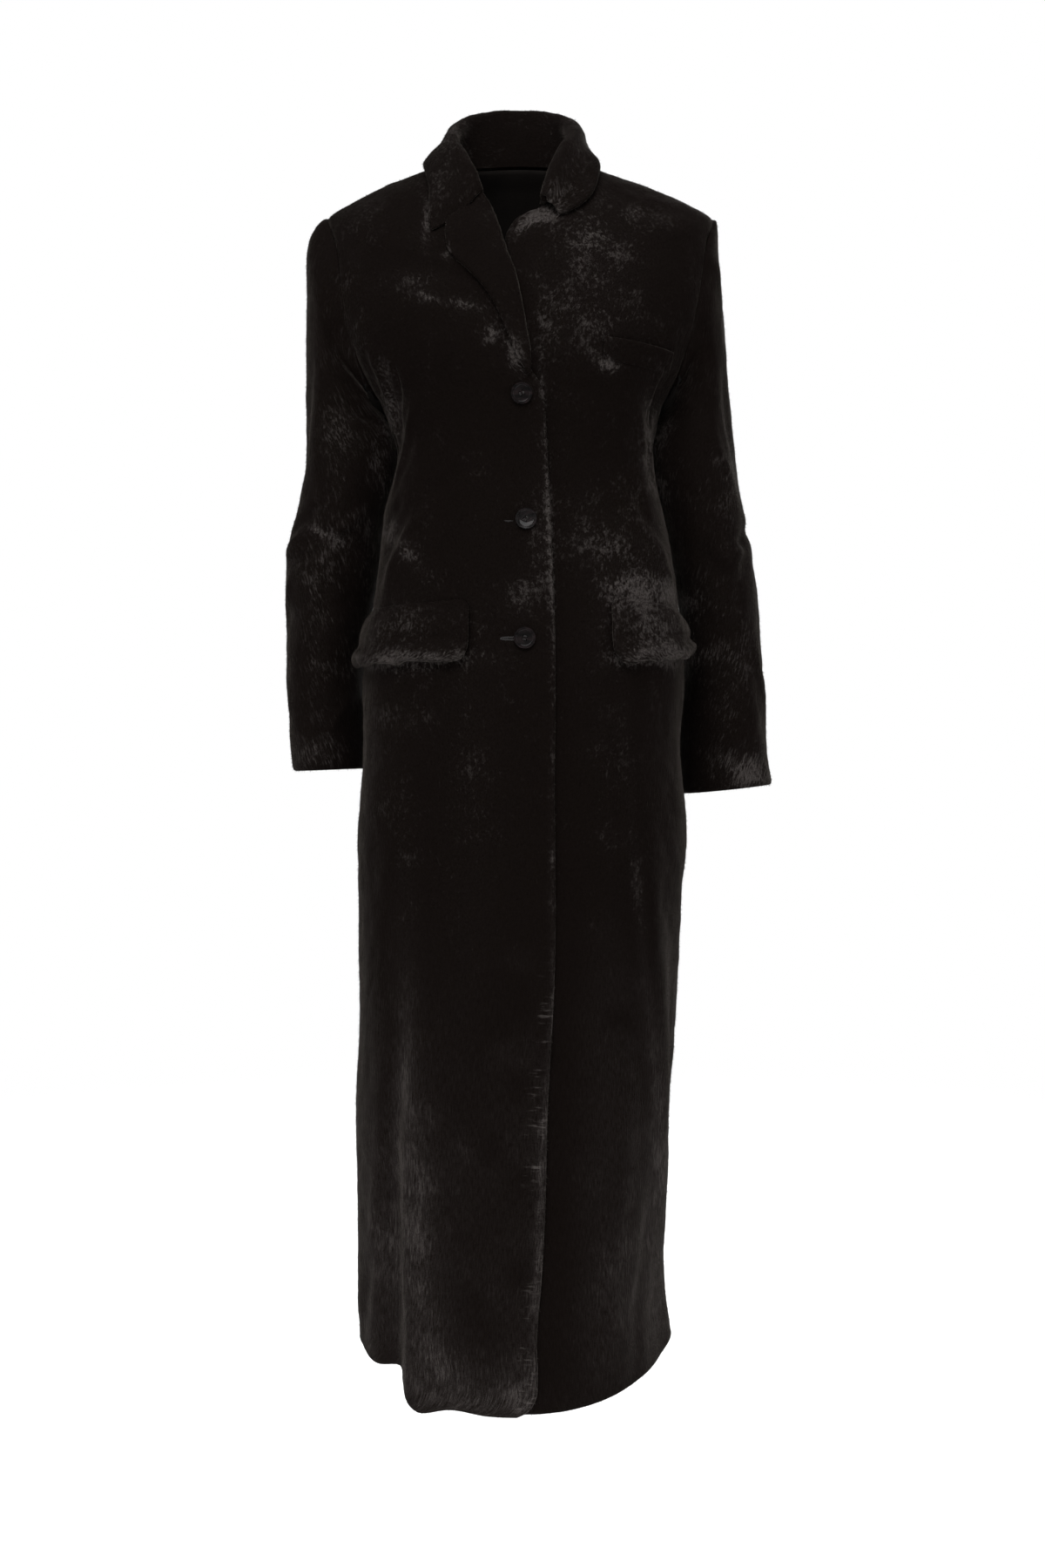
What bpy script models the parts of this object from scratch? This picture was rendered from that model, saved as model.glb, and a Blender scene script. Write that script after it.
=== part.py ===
"""A long, single-breasted shearling coat as it hangs when worn, in its separate cut pieces.

Metres, +Z up. The wearer faces -Y, so the wearer's right side lies at -X. The origin is
between the shoulders, at the height where they carry the coat.

The body is a stack of rings. A point on it is named by its angle round the body, from 0 at the
centre front to +90 degrees at the wearer's left side and 180 at the back, and by the level of
its ring, which is the ring's height at the side. Panels are stretches of that surface, given
the thickness of the skin. What lies on a panel is made from its points, moved out.
"""

import math
from collections import namedtuple

import bpy
import numpy as np
from mathutils import Matrix, Vector
from mathutils.bvhtree import BVHTree

MM = 0.001

# Skin and seams
WALL = 7.0 * MM  # skin with its sheared pile
TRIM_WALL = 6.5 * MM  # collar and lapel
SEAM = 0.3 * MM  # left between two pieces that are sewn together
RESTING = 0.9 * MM  # left under a piece that lies on another
FALL_RESTING = 1.5 * MM  # the same under the collar, which bends more sharply
EDGE_ROUNDING = 2.0 * MM  # how far the middle of a free edge stands out
OVERLAP_LIFT = 8.5 * MM  # the right front, where it laps over the left one
OVERLAP_RAMP = 58.0 * MM  # width over which the right front rises to that
OVERLAP_MARGIN = 6.0 * MM  # it is fully up this far before the left front's edge
LAPEL_SETBACK = 9.0 * MM  # from the lapel's rolled edge to the front's own edge beneath it

# Levels of the body
HEM = -1.221
UNDERARM = -0.235
SHOULDER_TIP = -0.027
NECK = 0.036

# Armholes: how far, in degrees, each panel stands back from the side at mid height
ARMHOLE_FRONT = 21.0
ARMHOLE_BACK = 23.0

# Meshes
FRONT_COLUMNS = 13
BACK_COLUMNS = 23
ARMHOLE_ROWS = 10
SMALL_TURN = 0.002  # radians, for slopes
SMALL_RISE = 0.0005  # metres, for slopes

Ring = namedtuple("Ring", "level front_z back_z right left front back square")
RINGS = (
    Ring(-1.260, -1.289, -1.268, 0.1715, 0.1560, 0.186, 0.150, 2.40),  # carries on below the hem
    Ring(-1.221, -1.248, -1.228, 0.1720, 0.1535, 0.185, 0.149, 2.40),  # hem
    Ring(-1.145, -1.160, -1.148, 0.1735, 0.1465, 0.182, 0.148, 2.40),
    Ring(-1.060, -1.066, -1.061, 0.1755, 0.1500, 0.179, 0.147, 2.45),
    Ring(-0.990, -0.992, -0.990, 0.1775, 0.1565, 0.174, 0.145, 2.50),
    Ring(-0.900, -0.900, -0.900, 0.1750, 0.1630, 0.167, 0.142, 2.50),
    Ring(-0.770, -0.770, -0.770, 0.1750, 0.1700, 0.156, 0.138, 2.40),
    Ring(-0.690, -0.690, -0.690, 0.1760, 0.1755, 0.150, 0.136, 2.40),
    Ring(-0.600, -0.600, -0.600, 0.1710, 0.1690, 0.144, 0.134, 2.40),
    Ring(-0.515, -0.515, -0.515, 0.1705, 0.1735, 0.138, 0.131, 2.40),  # hips
    Ring(-0.440, -0.440, -0.440, 0.1590, 0.1660, 0.131, 0.123, 2.40),
    Ring(-0.396, -0.396, -0.396, 0.1535, 0.1605, 0.126, 0.113, 2.40),
    Ring(-0.342, -0.342, -0.342, 0.1475, 0.1500, 0.120, 0.100, 2.40),
    Ring(-0.309, -0.309, -0.309, 0.1385, 0.1420, 0.118, 0.093, 2.40),
    Ring(-0.277, -0.277, -0.277, 0.1350, 0.1405, 0.119, 0.090, 2.40),  # waist
    Ring(-0.257, -0.257, -0.257, 0.1420, 0.1445, 0.121, 0.090, 2.40),
    Ring(-0.235, -0.236, -0.234, 0.1500, 0.1500, 0.123, 0.092, 2.40),  # underarm
    Ring(-0.200, -0.205, -0.197, 0.1760, 0.1720, 0.127, 0.099, 2.45),
    Ring(-0.150, -0.165, -0.144, 0.2030, 0.1970, 0.126, 0.106, 2.50),
    Ring(-0.100, -0.132, -0.093, 0.2160, 0.2110, 0.121, 0.108, 2.40),
    Ring(-0.060, -0.108, -0.056, 0.2140, 0.2100, 0.113, 0.104, 2.30),
    Ring(-0.027, -0.091, -0.025, 0.2060, 0.2010, 0.106, 0.095, 2.20),  # shoulder tip
    Ring(-0.012, -0.084, -0.006, 0.1845, 0.1750, 0.102, 0.089, 2.15),
    Ring(0.007, -0.0755, 0.014, 0.1490, 0.1310, 0.095, 0.081, 2.10),
    Ring(0.0225, -0.069, 0.032, 0.1100, 0.0900, 0.088, 0.071, 2.00),
    Ring(0.036, -0.064, 0.050, 0.0840, 0.0660, 0.083, 0.058, 2.00),  # neck seam
    Ring(0.048, -0.046, 0.068, 0.0780, 0.0600, 0.084, 0.056, 2.00),  # under the lapel's roll
    Ring(0.060, -0.020, 0.085, 0.0740, 0.0560, 0.085, 0.056, 2.00),
)

# Folds of the body: they start at `top`, have their full depth at `full` and end at `end`.
# A fold whose end lies below the hem runs out through it. A negative depth is a trough, and
# `drop` is how much lower the skin hangs there.
Fold = namedtuple("Fold", "top full end angle_top angle_full depth width drop")
FOLDS = {
    "right front ridge": Fold(-0.70, -1.12, -9.0, -31.0, -31.5, 0.010, 7.5, 0.012),
    "right front trough": Fold(-0.80, -1.14, -9.0, -42.0, -44.5, -0.013, 6.5, -0.010),
    "right side ridge": Fold(-0.85, -1.15, -9.0, -66.0, -66.0, 0.004, 9.0, -0.007),
    "left front ridge": Fold(-0.50, -1.05, -9.0, 38.0, 60.0, 0.007, 7.0, -0.008),
    "left side trough": Fold(-0.55, -1.05, -9.0, 53.0, 76.0, -0.006, 8.0, -0.009),
    "back left side ridge": Fold(-0.60, -1.10, -9.0, 112.0, 116.0, 0.008, 9.0, 0.0),
    "back left trough": Fold(-0.64, -1.12, -9.0, 131.0, 134.0, -0.009, 8.0, 0.0),
    "back left ridge": Fold(-0.52, -1.15, -9.0, 157.0, 152.0, 0.012, 9.0, 0.004),
    "back middle trough": Fold(-0.58, -1.12, -9.0, 178.0, 176.0, -0.009, 9.0, 0.0),
    "back right ridge": Fold(-0.62, -1.16, -9.0, -158.0, -154.0, 0.012, 9.0, 0.005),
    "back right trough": Fold(-0.70, -1.12, -9.0, -132.0, -130.0, -0.010, 8.0, 0.0),
    "back right side ridge": Fold(-0.66, -1.12, -9.0, -112.0, -108.0, 0.008, 8.0, 0.0),
    "right chest fullness": Fold(-0.06, -0.17, -0.29, -32.0, -34.0, 0.004, 17.0, 0.0),
    "left chest fullness": Fold(-0.06, -0.17, -0.29, 32.0, 34.0, 0.004, 17.0, 0.0),
    "right underarm drag": Fold(-0.17, -0.24, -0.30, -58.0, -68.0, -0.005, 6.0, 0.0),
    "left underarm drag": Fold(-0.16, -0.23, -0.29, 60.0, 70.0, -0.004, 6.0, 0.0),
    "right waist break": Fold(-0.32, -0.38, -0.45, -48.0, -62.0, -0.003, 5.0, 0.0),
    "left lapel's raised top": Fold(0.060, 0.036, -0.03, 4.0, 4.0, 0.0, 30.0, -0.018),
    "back waist drag": Fold(-0.24, -0.30, -0.37, 166.0, 172.0, -0.004, 12.0, 0.0),
}

# Front edges, from the hem up: height and x
Edge = namedtuple("Edge", "z x")
RIGHT_EDGE = (
    Edge(-1.252, -0.0150),
    Edge(-1.244, 0.0034),
    Edge(-1.232, 0.0125),
    Edge(-1.215, 0.0146),
    Edge(-1.181, 0.0136),
    Edge(-1.120, 0.0179),
    Edge(-1.060, 0.0213),
    Edge(-0.950, 0.0245),
    Edge(-0.830, 0.0310),
    Edge(-0.636, 0.0315),
    Edge(-0.460, 0.0316),
    Edge(-0.372, 0.0281),
    Edge(-0.302, 0.0246),
    Edge(-0.250, 0.0213),
    Edge(-0.236, 0.0190),
    Edge(-0.226, 0.0130),
    Edge(-0.216, 0.0055),
    Edge(-0.207, 0.0005),
    Edge(-0.195, -0.0020),
    Edge(-0.180, -0.0045),
    Edge(-0.144, -0.0110),
    Edge(-0.098, -0.0255),
    Edge(-0.058, -0.0385),
    Edge(-0.030, -0.0480),
)
LEFT_EDGE = (
    Edge(-1.260, -0.0200),
    Edge(-1.245, -0.0260),
    Edge(-1.200, -0.0290),
    Edge(-0.400, -0.0290),
    Edge(-0.220, -0.0270),
    Edge(-0.140, -0.0190),
    Edge(-0.093, -0.0160),
    Edge(-0.0755, -0.0155),
    Edge(-0.069, -0.0085),
    Edge(-0.064, 0.0045),
)

# Sleeves: one row for each cross-section, for the wearer's right and left arm
Section = namedtuple("Section", "right_z right_x right_half left_z left_x left_half y half_depth")
SLEEVE = (
    Section(-0.257, -0.1910, 0.0459, -0.257, 0.1882, 0.0411, 0.010, 0.066),
    Section(-0.277, -0.1880, 0.0502, -0.277, 0.1870, 0.0447, 0.012, 0.067),
    Section(-0.303, -0.1895, 0.0502, -0.303, 0.1891, 0.0449, 0.015, 0.067),
    Section(-0.350, -0.1992, 0.0478, -0.350, 0.1984, 0.0439, 0.021, 0.066),
    Section(-0.397, -0.2087, 0.0515, -0.398, 0.2093, 0.0435, 0.028, 0.065),  # elbow
    Section(-0.444, -0.2120, 0.0458, -0.446, 0.2165, 0.0435, 0.038, 0.063),
    Section(-0.491, -0.2177, 0.0435, -0.495, 0.2217, 0.0427, 0.048, 0.061),
    Section(-0.537, -0.2185, 0.0411, -0.545, 0.2237, 0.0457, 0.055, 0.060),
    Section(-0.580, -0.2185, 0.0407, -0.595, 0.2249, 0.0469, 0.059, 0.059),
    Section(-0.620, -0.2170, 0.0388, -0.641, 0.2295, 0.0495, 0.060, 0.058),  # cuff
)
SLEEVE_ROWS = 13  # from the first section to the cuff
CAP_STEPS = (0.0, 0.05, 0.12, 0.20, 0.30, 0.43, 0.58, 0.74, 0.88)  # shares of the way there
CAP_TURN = (0.010, 0.032, 0.030)  # lengths in which it turns down: underarm, middle, tip
CAP_SLACK = 0.006
CAP_SMOOTHING = 3  # times that its points are drawn towards their neighbours
CAP_FIRST_SMOOTHED = 3  # row

# Folds of a sleeve: round it, 0 is its outer side, 90 its front and 180 its inner side
Crease = namedtuple("Crease", "top full end around_top around_full depth width")
RIGHT_CREASES = (
    Crease(-0.16, -0.26, -0.34, 50.0, 20.0, -0.005, 16.0),
    Crease(-0.34, -0.375, -0.41, 30.0, 95.0, -0.006, 22.0),
    Crease(-0.38, -0.42, -0.47, 100.0, 120.0, -0.004, 20.0),
    Crease(-0.30, -0.40, -0.48, 230.0, 250.0, -0.005, 20.0),
    Crease(-0.46, -0.53, -0.60, 60.0, 50.0, 0.003, 24.0),
)
LEFT_CREASES = (
    Crease(-0.16, -0.26, -0.36, 55.0, 30.0, -0.005, 15.0),
    Crease(-0.34, -0.39, -0.46, 25.0, 40.0, -0.005, 16.0),
    Crease(-0.36, -0.41, -0.47, 110.0, 90.0, -0.004, 20.0),
    Crease(-0.30, -0.40, -0.48, 230.0, 250.0, -0.005, 20.0),
    Crease(-0.52, -0.585, -0.66, 70.0, 55.0, 0.004, 24.0),
)

# Collar: from its end on the wearer's right, round the neck, to its end on the left. The roll
# is the middle of the skin at the fold, the stand and the fall are places on the body.
Station = namedtuple(
    "Station", "roll_x roll_y roll_z bend stand fall fall_level sag bulge"
)
COLLAR = (
    Station(-0.0440, -0.0930, -0.0214, 0.0054, -35.6, -46.1, -0.0124, 0.0200, 0.003),
    Station(-0.0495, -0.0805, -0.0050, 0.0055, -46.0, -55.0, 0.0115, 0.0030, 0.003),
    Station(-0.0630, -0.0530, 0.0270, 0.0060, -63.0, -69.5, 0.0215, 0.0, 0.003),
    Station(-0.0730, -0.0120, 0.0620, 0.0070, -90.0, -97.0, 0.0250, 0.0, 0.003),
    Station(-0.0620, 0.0340, 0.0960, 0.0070, -128.0, -134.0, 0.0160, 0.0, 0.003),
    Station(-0.0330, 0.0600, 0.1120, 0.0070, -158.0, -160.0, 0.0080, 0.0, 0.003),
    Station(-0.0050, 0.0650, 0.1150, 0.0070, -180.0, -180.0, 0.0060, 0.0, 0.003),
    Station(0.0250, 0.0580, 0.1120, 0.0070, -204.0, -202.0, 0.0080, 0.0, 0.003),
    Station(0.0475, 0.0320, 0.0950, 0.0075, -232.0, -229.0, 0.0180, 0.0, 0.006),
    Station(0.0525, -0.0080, 0.0665, 0.0080, -268.0, -264.0, 0.0290, 0.0, 0.009),
    Station(0.0385, -0.0500, 0.0290, 0.0070, -302.0, -293.0, 0.0235, 0.0, 0.006),
    Station(0.0285, -0.0760, -0.0030, 0.0058, -329.0, -314.0, 0.0170, 0.0, 0.004),
    Station(0.0225, -0.0880, -0.0285, 0.0052, -345.0, -335.0, 0.0150, 0.0, 0.003),
)
COLLAR_ROWS = 34

# Right lapel: each row goes from its rolled edge to its free edge, and `turn` is how many
# degrees it turns in at the roll
Revere = namedtuple("Revere", "roll_x roll_z edge_x edge_z turn")
LAPEL = (
    Revere(0.0112, -0.2190, 0.0035, -0.2275, 20.0),  # break
    Revere(0.0096, -0.2010, -0.0070, -0.2120, 70.0),
    Revere(0.0035, -0.1700, -0.0201, -0.1831, 140.0),
    Revere(-0.0018, -0.1454, -0.0324, -0.1560, 150.0),
    Revere(-0.0088, -0.1186, -0.0519, -0.1282, 150.0),
    Revere(-0.0158, -0.0992, -0.0695, -0.1080, 140.0),
    Revere(-0.0230, -0.0738, -0.0787, -0.0950, 120.0),
    Revere(-0.0312, -0.0510, -0.0808, -0.0822, 90.0),
    Revere(-0.0393, -0.0322, -0.0808, -0.0716, 60.0),  # gorge
)
LAPEL_ROWS = 14
LAPEL_ROLL = 4.0 * MM

# Pocket flaps: front_x and back_angle are its ends, the rest its heights
Flap = namedtuple("Flap", "front_x back_angle top_front top_back foot_front foot_back")
FLAPS = {
    "right": Flap(-0.0515, -84.0, -0.4520, -0.4540, -0.5160, -0.5115),
    "left": Flap(0.0888, 84.0, -0.4465, -0.4570, -0.5160, -0.4985),
}
FLAP_CORNER = 18.0 * MM
FLAP_TOP = (0.9 * MM, 6.5 * MM)  # inner and outer face over the panel, along the top
FLAP_FOOT = (3.0 * MM, 13.5 * MM)  # and along the foot
FLAP_COLUMNS = 12
FLAP_ROWS = 6

# Breast pocket welt
WELT_CENTRE = (0.1175, -0.1985)
WELT_LENGTH = 74.0 * MM
WELT_HEIGHT = 22.0 * MM
WELT_TILT = -3.0
WELT_THICKNESS = 5.5 * MM

# Buttons
BUTTON_PLACES = ((-0.0009, -0.2440), (0.0035, -0.3720), (0.0022, -0.4920))
BUTTON_RADIUS = 11.0 * MM
BUTTON_HEIGHT = 4.0 * MM
BUTTON_DISH = 1.3 * MM
BUTTON_RIM = 2.6 * MM
BUTTON_HOLE = 1.0 * MM  # radius
BUTTON_HOLE_SPACING = 3.4 * MM
BUTTON_STEPS = 24


def clear_scene():
    for thing in list(bpy.data.objects):
        bpy.data.objects.remove(thing, do_unlink=True)


def new_collection(name):
    collection = bpy.data.collections.new(name)
    bpy.context.scene.collection.children.link(collection)
    return collection


def material(name, colour, roughness, sheen=0.0, coat=0.0):
    """A material with the sub-part's own colour and finish."""
    made = bpy.data.materials.new(name)
    made.use_nodes = True
    made.diffuse_color = (*colour, 1.0)
    shader = made.node_tree.nodes["Principled BSDF"]
    shader.inputs["Base Color"].default_value = (*colour, 1.0)
    shader.inputs["Roughness"].default_value = roughness
    shader.inputs["Metallic"].default_value = 0.0
    shader.inputs["Sheen Weight"].default_value = sheen
    shader.inputs["Coat Weight"].default_value = coat
    return made


def smoothstep(value):
    value = np.clip(value, 0.0, 1.0)
    return value * value * (3.0 - 2.0 * value)


def mix(first, second, share):
    return first + (second - first) * share


def unit(vectors):
    return vectors / np.linalg.norm(vectors, axis=-1, keepdims=True)


def smooth_curve(places, values, at):
    """A smooth curve through the values at the rising places, read at `at`; flat past its ends."""
    places = np.asarray(places, float)
    values = np.asarray(values, float)
    at = np.clip(at, places[0], places[-1])
    slopes = np.gradient(values, places)
    low = np.clip(np.searchsorted(places, at, side="right") - 1, 0, len(places) - 2)
    step = places[low + 1] - places[low]
    share = (at - places[low]) / step
    square, cube = share**2, share**3
    return (
        (2 * cube - 3 * square + 1) * values[low]
        + (cube - 2 * square + share) * step * slopes[low]
        + (3 * square - 2 * cube) * values[low + 1]
        + (cube - square) * step * slopes[low + 1]
    )


def column(table, name):
    return [getattr(row, name) for row in table]


def along(table, name, at):
    """One column of a table whose rows are evenly spaced from 0 to 1, read at `at`."""
    return smooth_curve(np.linspace(0.0, 1.0, len(table)), column(table, name), at)


def edge_x(edge, z):
    return smooth_curve(column(edge, "z"), column(edge, "x"), z)


def ring_value(name, level):
    return smooth_curve(column(RINGS, "level"), column(RINGS, name), level)


def torso(angle, level):
    """The outside of the body's skin with no folds; angles in radians."""
    angle, level = np.broadcast_arrays(angle, level)
    across, ahead = np.sin(angle), np.cos(angle)
    side = np.where(across < 0, ring_value("right", level), ring_value("left", level))
    deep = np.where(ahead > 0, ring_value("front", level), ring_value("back", level))
    tip = np.where(ahead > 0, ring_value("front_z", level), ring_value("back_z", level))
    square = ring_value("square", level)
    reach = (np.abs(across / side) ** square + np.abs(ahead / deep) ** square) ** (-1 / square)
    x = reach * across
    z = level + (tip - level) * (1.0 - (x / side) ** 2)
    return np.stack([x, -reach * ahead, z], -1)


def fold_strength(fold, level):
    rising = smoothstep((fold.top - level) / (fold.top - fold.full))
    return rising * smoothstep((level - fold.end) / (fold.full - fold.end))


def fold_sum(angle, level, name):
    """The folds' depth or drop at a place, summed over all of them."""
    degrees = np.degrees(angle)
    total = np.zeros(np.broadcast(angle, level).shape)
    for fold in FOLDS.values():
        gone = (fold.top - level) / (fold.top - fold.full)
        middle = mix(fold.angle_top, fold.angle_full, gone)
        away = (degrees - middle + 180.0) % 360.0 - 180.0
        shape = fold_strength(fold, level) * np.exp(-((away / fold.width) ** 2))
        total += getattr(fold, name) * shape
    return total


def overlap_lift(x, z):
    full_at = edge_x(LEFT_EDGE, z) - OVERLAP_MARGIN
    return OVERLAP_LIFT * smoothstep((x - full_at + OVERLAP_RAMP) / OVERLAP_RAMP)


def normals(surface, angle, level):
    """Directions out of a surface, from small differences."""
    turn = surface(angle + SMALL_TURN, level) - surface(angle - SMALL_TURN, level)
    rise = surface(angle, level + SMALL_RISE) - surface(angle, level - SMALL_RISE)
    return unit(np.cross(turn, rise))


def folded(angle, level, lift):
    """The torso with its folds and a further lift."""
    out = fold_sum(angle, level, "depth") + lift
    place = torso(angle, level) + normals(torso, angle, level) * out[..., None]
    place[..., 2] -= fold_sum(angle, level, "drop")
    return place


def left_body(angle, level):
    """The outside of the left front and the back."""
    return folded(angle, level, np.zeros(np.broadcast(angle, level).shape))


def right_body(angle, level):
    """The outside of the right front, lifted where it laps over the left one."""
    base = torso(angle, level)
    return folded(angle, level, overlap_lift(base[..., 0], base[..., 2]))


def angle_at(x, level):
    """The angle at which a ring's front half passes x."""
    side = np.where(x < 0, ring_value("right", level), ring_value("left", level))
    square = ring_value("square", level)
    across = np.clip(np.abs(x) / side, 0.0, 0.9999)
    ahead = ring_value("front", level) * (1.0 - across**square) ** (1.0 / square)
    return np.arctan2(x, ahead)


def find_on_front(x, z):
    """The angle and level of the body's point that is seen at (x, z) from the front."""
    x, z = np.broadcast_arrays(np.asarray(x, float), np.asarray(z, float))
    low = np.full(x.shape, HEM)
    high = np.full(x.shape, RINGS[-1].level)
    for _ in range(40):
        level = (low + high) / 2
        angle = angle_at(x, level)
        below = torso(angle, level)[..., 2] < z
        low, high = np.where(below, level, low), np.where(below, high, level)
    return angle, level


def edge_angle(edge, levels):
    """The angle at which each ring meets a front edge."""
    low = np.full(levels.shape, -0.100)
    high = np.full(levels.shape, 0.060)
    for _ in range(40):
        x = (low + high) / 2
        angle = angle_at(x, levels)
        short = x < edge_x(edge, torso(angle, levels)[..., 2])
        low, high = np.where(short, x, low), np.where(short, high, x)
    return angle


def armhole_share(levels):
    """0 at the underarm and at the shoulder tip, 1 at mid height, as round as an oval."""
    height = np.clip((levels - UNDERARM) / (SHOULDER_TIP - UNDERARM), 0.0, 1.0)
    return np.sqrt(np.clip(1.0 - (2.0 * height - 1.0) ** 2, 0.0, 1.0))


def body_levels():
    """The rows that all panels share, closer at the hem, the waist and the armhole."""
    hem = [HEM, -1.213, -1.200, -1.176]
    skirt = list(np.linspace(-1.140, -0.600, 13))
    waist = list(np.linspace(-0.560, -0.255, 11))
    oval = (1.0 - np.cos(np.linspace(0.0, math.pi, ARMHOLE_ROWS + 1))) / 2.0
    armhole = list(mix(UNDERARM, SHOULDER_TIP, oval))
    shoulder = [-0.012, 0.007, 0.0225, NECK]
    return np.array(hem + skirt + waist + armhole + shoulder)


def seam_turn(levels):
    """Half a seam's gap at the body's side, as an angle."""
    return 0.5 * SEAM / np.minimum(ring_value("right", levels), ring_value("left", levels))


def grid_normals(grid, closed):
    """Directions out of a grid of points, from its neighbours; rows run down, columns round."""
    down = np.gradient(grid, axis=0)
    if closed:
        round_it = np.roll(grid, -1, axis=1) - np.roll(grid, 1, axis=1)
    else:
        round_it = np.gradient(grid, axis=1)
    return unit(np.cross(round_it, down))


def border_directions(line, inside):
    """Out of a grid's border line, away from the line of points just inside it."""
    return unit(line - inside)


def wall_mesh(outer, inner, closed=False, rounding=(0.0, 0.0, 0.0, 0.0)):
    """A closed wall between two grids of points.

    `rounding` is how far the middle of the first row, last row, first column and last
    column's edges stands out. A closed grid joins its last column to its first.
    """
    rows, columns = outer.shape[:2]
    count = rows * columns
    middle = (outer + inner) / 2
    first_row, last_row, first_column, last_column = rounding
    push = np.zeros_like(middle)
    push[0] += first_row * border_directions(middle[0], middle[1])
    push[-1] += last_row * border_directions(middle[-1], middle[-2])
    if not closed:
        push[:, 0] += first_column * border_directions(middle[:, 0], middle[:, 1])
        push[:, -1] += last_column * border_directions(middle[:, -1], middle[:, -2])
    points = np.concatenate([outer.reshape(-1, 3), inner.reshape(-1, 3)])

    def at(row, col):
        return row * columns + col % columns

    faces = []
    for row in range(rows - 1):
        for col in range(columns if closed else columns - 1):
            quad = (at(row, col), at(row, col + 1), at(row + 1, col + 1), at(row + 1, col))
            faces.append(quad)
            faces.append(tuple(count + corner for corner in reversed(quad)))
    if closed:
        borders = [[at(0, col) for col in range(columns + 1)][::-1]]
        borders.append([at(rows - 1, col) for col in range(columns + 1)])
    else:
        ring = [at(0, col) for col in range(columns - 1, 0, -1)]
        ring += [at(row, 0) for row in range(rows - 1)]
        ring += [at(rows - 1, col) for col in range(columns - 1)]
        ring += [at(row, columns - 1) for row in range(rows - 1, -1, -1)]
        borders = [ring]
    rim_points = {}
    extra = []
    for border in borders:
        for corner in border:
            if corner not in rim_points:
                rim_points[corner] = 2 * count + len(extra)
                extra.append(middle.reshape(-1, 3)[corner] + push.reshape(-1, 3)[corner])
        for one, two in zip(border, border[1:]):
            faces.append((one, two, rim_points[two], rim_points[one]))
            faces.append((rim_points[one], rim_points[two], count + two, count + one))
    return np.concatenate([points, np.array(extra)]), faces


def signed_volume(points, faces):
    total = 0.0
    for face in faces:
        for second, third in zip(face[1:], face[2:]):
            total += np.dot(points[face[0]], np.cross(points[second], points[third]))
    return total / 6.0


def add_piece(name, points, faces, look, collection):
    """One named object from points and faces, turned to face outwards and shaded smooth."""
    if signed_volume(points, faces) < 0:
        faces = [tuple(reversed(face)) for face in faces]
    mesh = bpy.data.meshes.new(name)
    mesh.from_pydata([tuple(point) for point in points], [], faces)
    mesh.validate()
    mesh.shade_smooth()
    mesh.set_sharp_from_angle(angle=math.radians(50))
    mesh.materials.append(look)
    piece = bpy.data.objects.new(name, mesh)
    collection.objects.link(piece)
    return piece


def add_panel(name, surface, angles, levels, look, collection, rounding):
    """A stretch of the body, from its angles and levels, with the skin's thickness inwards."""
    levels = np.broadcast_to(levels[:, None], angles.shape)
    outer = surface(angles, levels)
    inner = outer - WALL * normals(surface, angles, levels)
    points, faces = wall_mesh(outer, inner, rounding=rounding)
    return add_piece(name, points, faces, look, collection)


def front_angles(side, edge, levels):
    """A front's angles: from its front edge to the side seam, the armhole and the shoulder."""
    start = edge_angle(edge, levels)
    back_off = math.radians(ARMHOLE_FRONT) * armhole_share(levels) + seam_turn(levels)
    end = side * (math.pi / 2 - back_off)
    shares = np.linspace(0.0, 1.0, FRONT_COLUMNS)
    return start[:, None] + (end - start)[:, None] * shares


def back_angles(levels):
    """The back's angles: from the left side seam round to the right one."""
    back_off = math.radians(ARMHOLE_BACK) * armhole_share(levels) + seam_turn(levels)
    start = math.pi / 2 + back_off
    end = 3 * math.pi / 2 - back_off
    shares = np.linspace(0.0, 1.0, BACK_COLUMNS)
    return start[:, None] + (end - start)[:, None] * shares


def build_body(look, collection):
    levels = body_levels()
    free_front = (EDGE_ROUNDING, 0.0, EDGE_ROUNDING, 0.0)
    free_hem = (EDGE_ROUNDING, 0.0, 0.0, 0.0)
    right = front_angles(-1, RIGHT_EDGE, levels)
    left = front_angles(1, LEFT_EDGE, levels)
    add_panel("front_right", right_body, right, levels, look, collection, free_front)
    add_panel("front_left", left_body, left, levels, look, collection, free_front)
    add_panel("back", left_body, back_angles(levels), levels, look, collection, free_hem)


def armhole_ring(side):
    """The armhole's edge from the shoulder tip down the front and up the back, with normals."""
    oval = (1.0 + np.cos(np.linspace(0.0, math.pi, ARMHOLE_ROWS + 1))) / 2.0
    down = mix(UNDERARM, SHOULDER_TIP, oval)
    levels = np.concatenate([down, down[-2:0:-1]])
    front = math.pi / 2 - math.radians(ARMHOLE_FRONT) * armhole_share(down)
    back = math.pi / 2 + math.radians(ARMHOLE_BACK) * armhole_share(down[-2:0:-1])
    angles = side * np.concatenate([front, back])
    surface = right_body if side < 0 else left_body
    return surface(angles, levels), normals(surface, angles, levels)


def sleeve_frame(side, share):
    """Centre, half width and half depth of the sleeve at a share of its length."""
    name = "right" if side < 0 else "left"
    centre = np.stack(
        [
            along(SLEEVE, name + "_x", share),
            along(SLEEVE, "y", share),
            along(SLEEVE, name + "_z", share),
        ],
        -1,
    )
    return centre, along(SLEEVE, name + "_half", share), along(SLEEVE, "half_depth", share)


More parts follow.
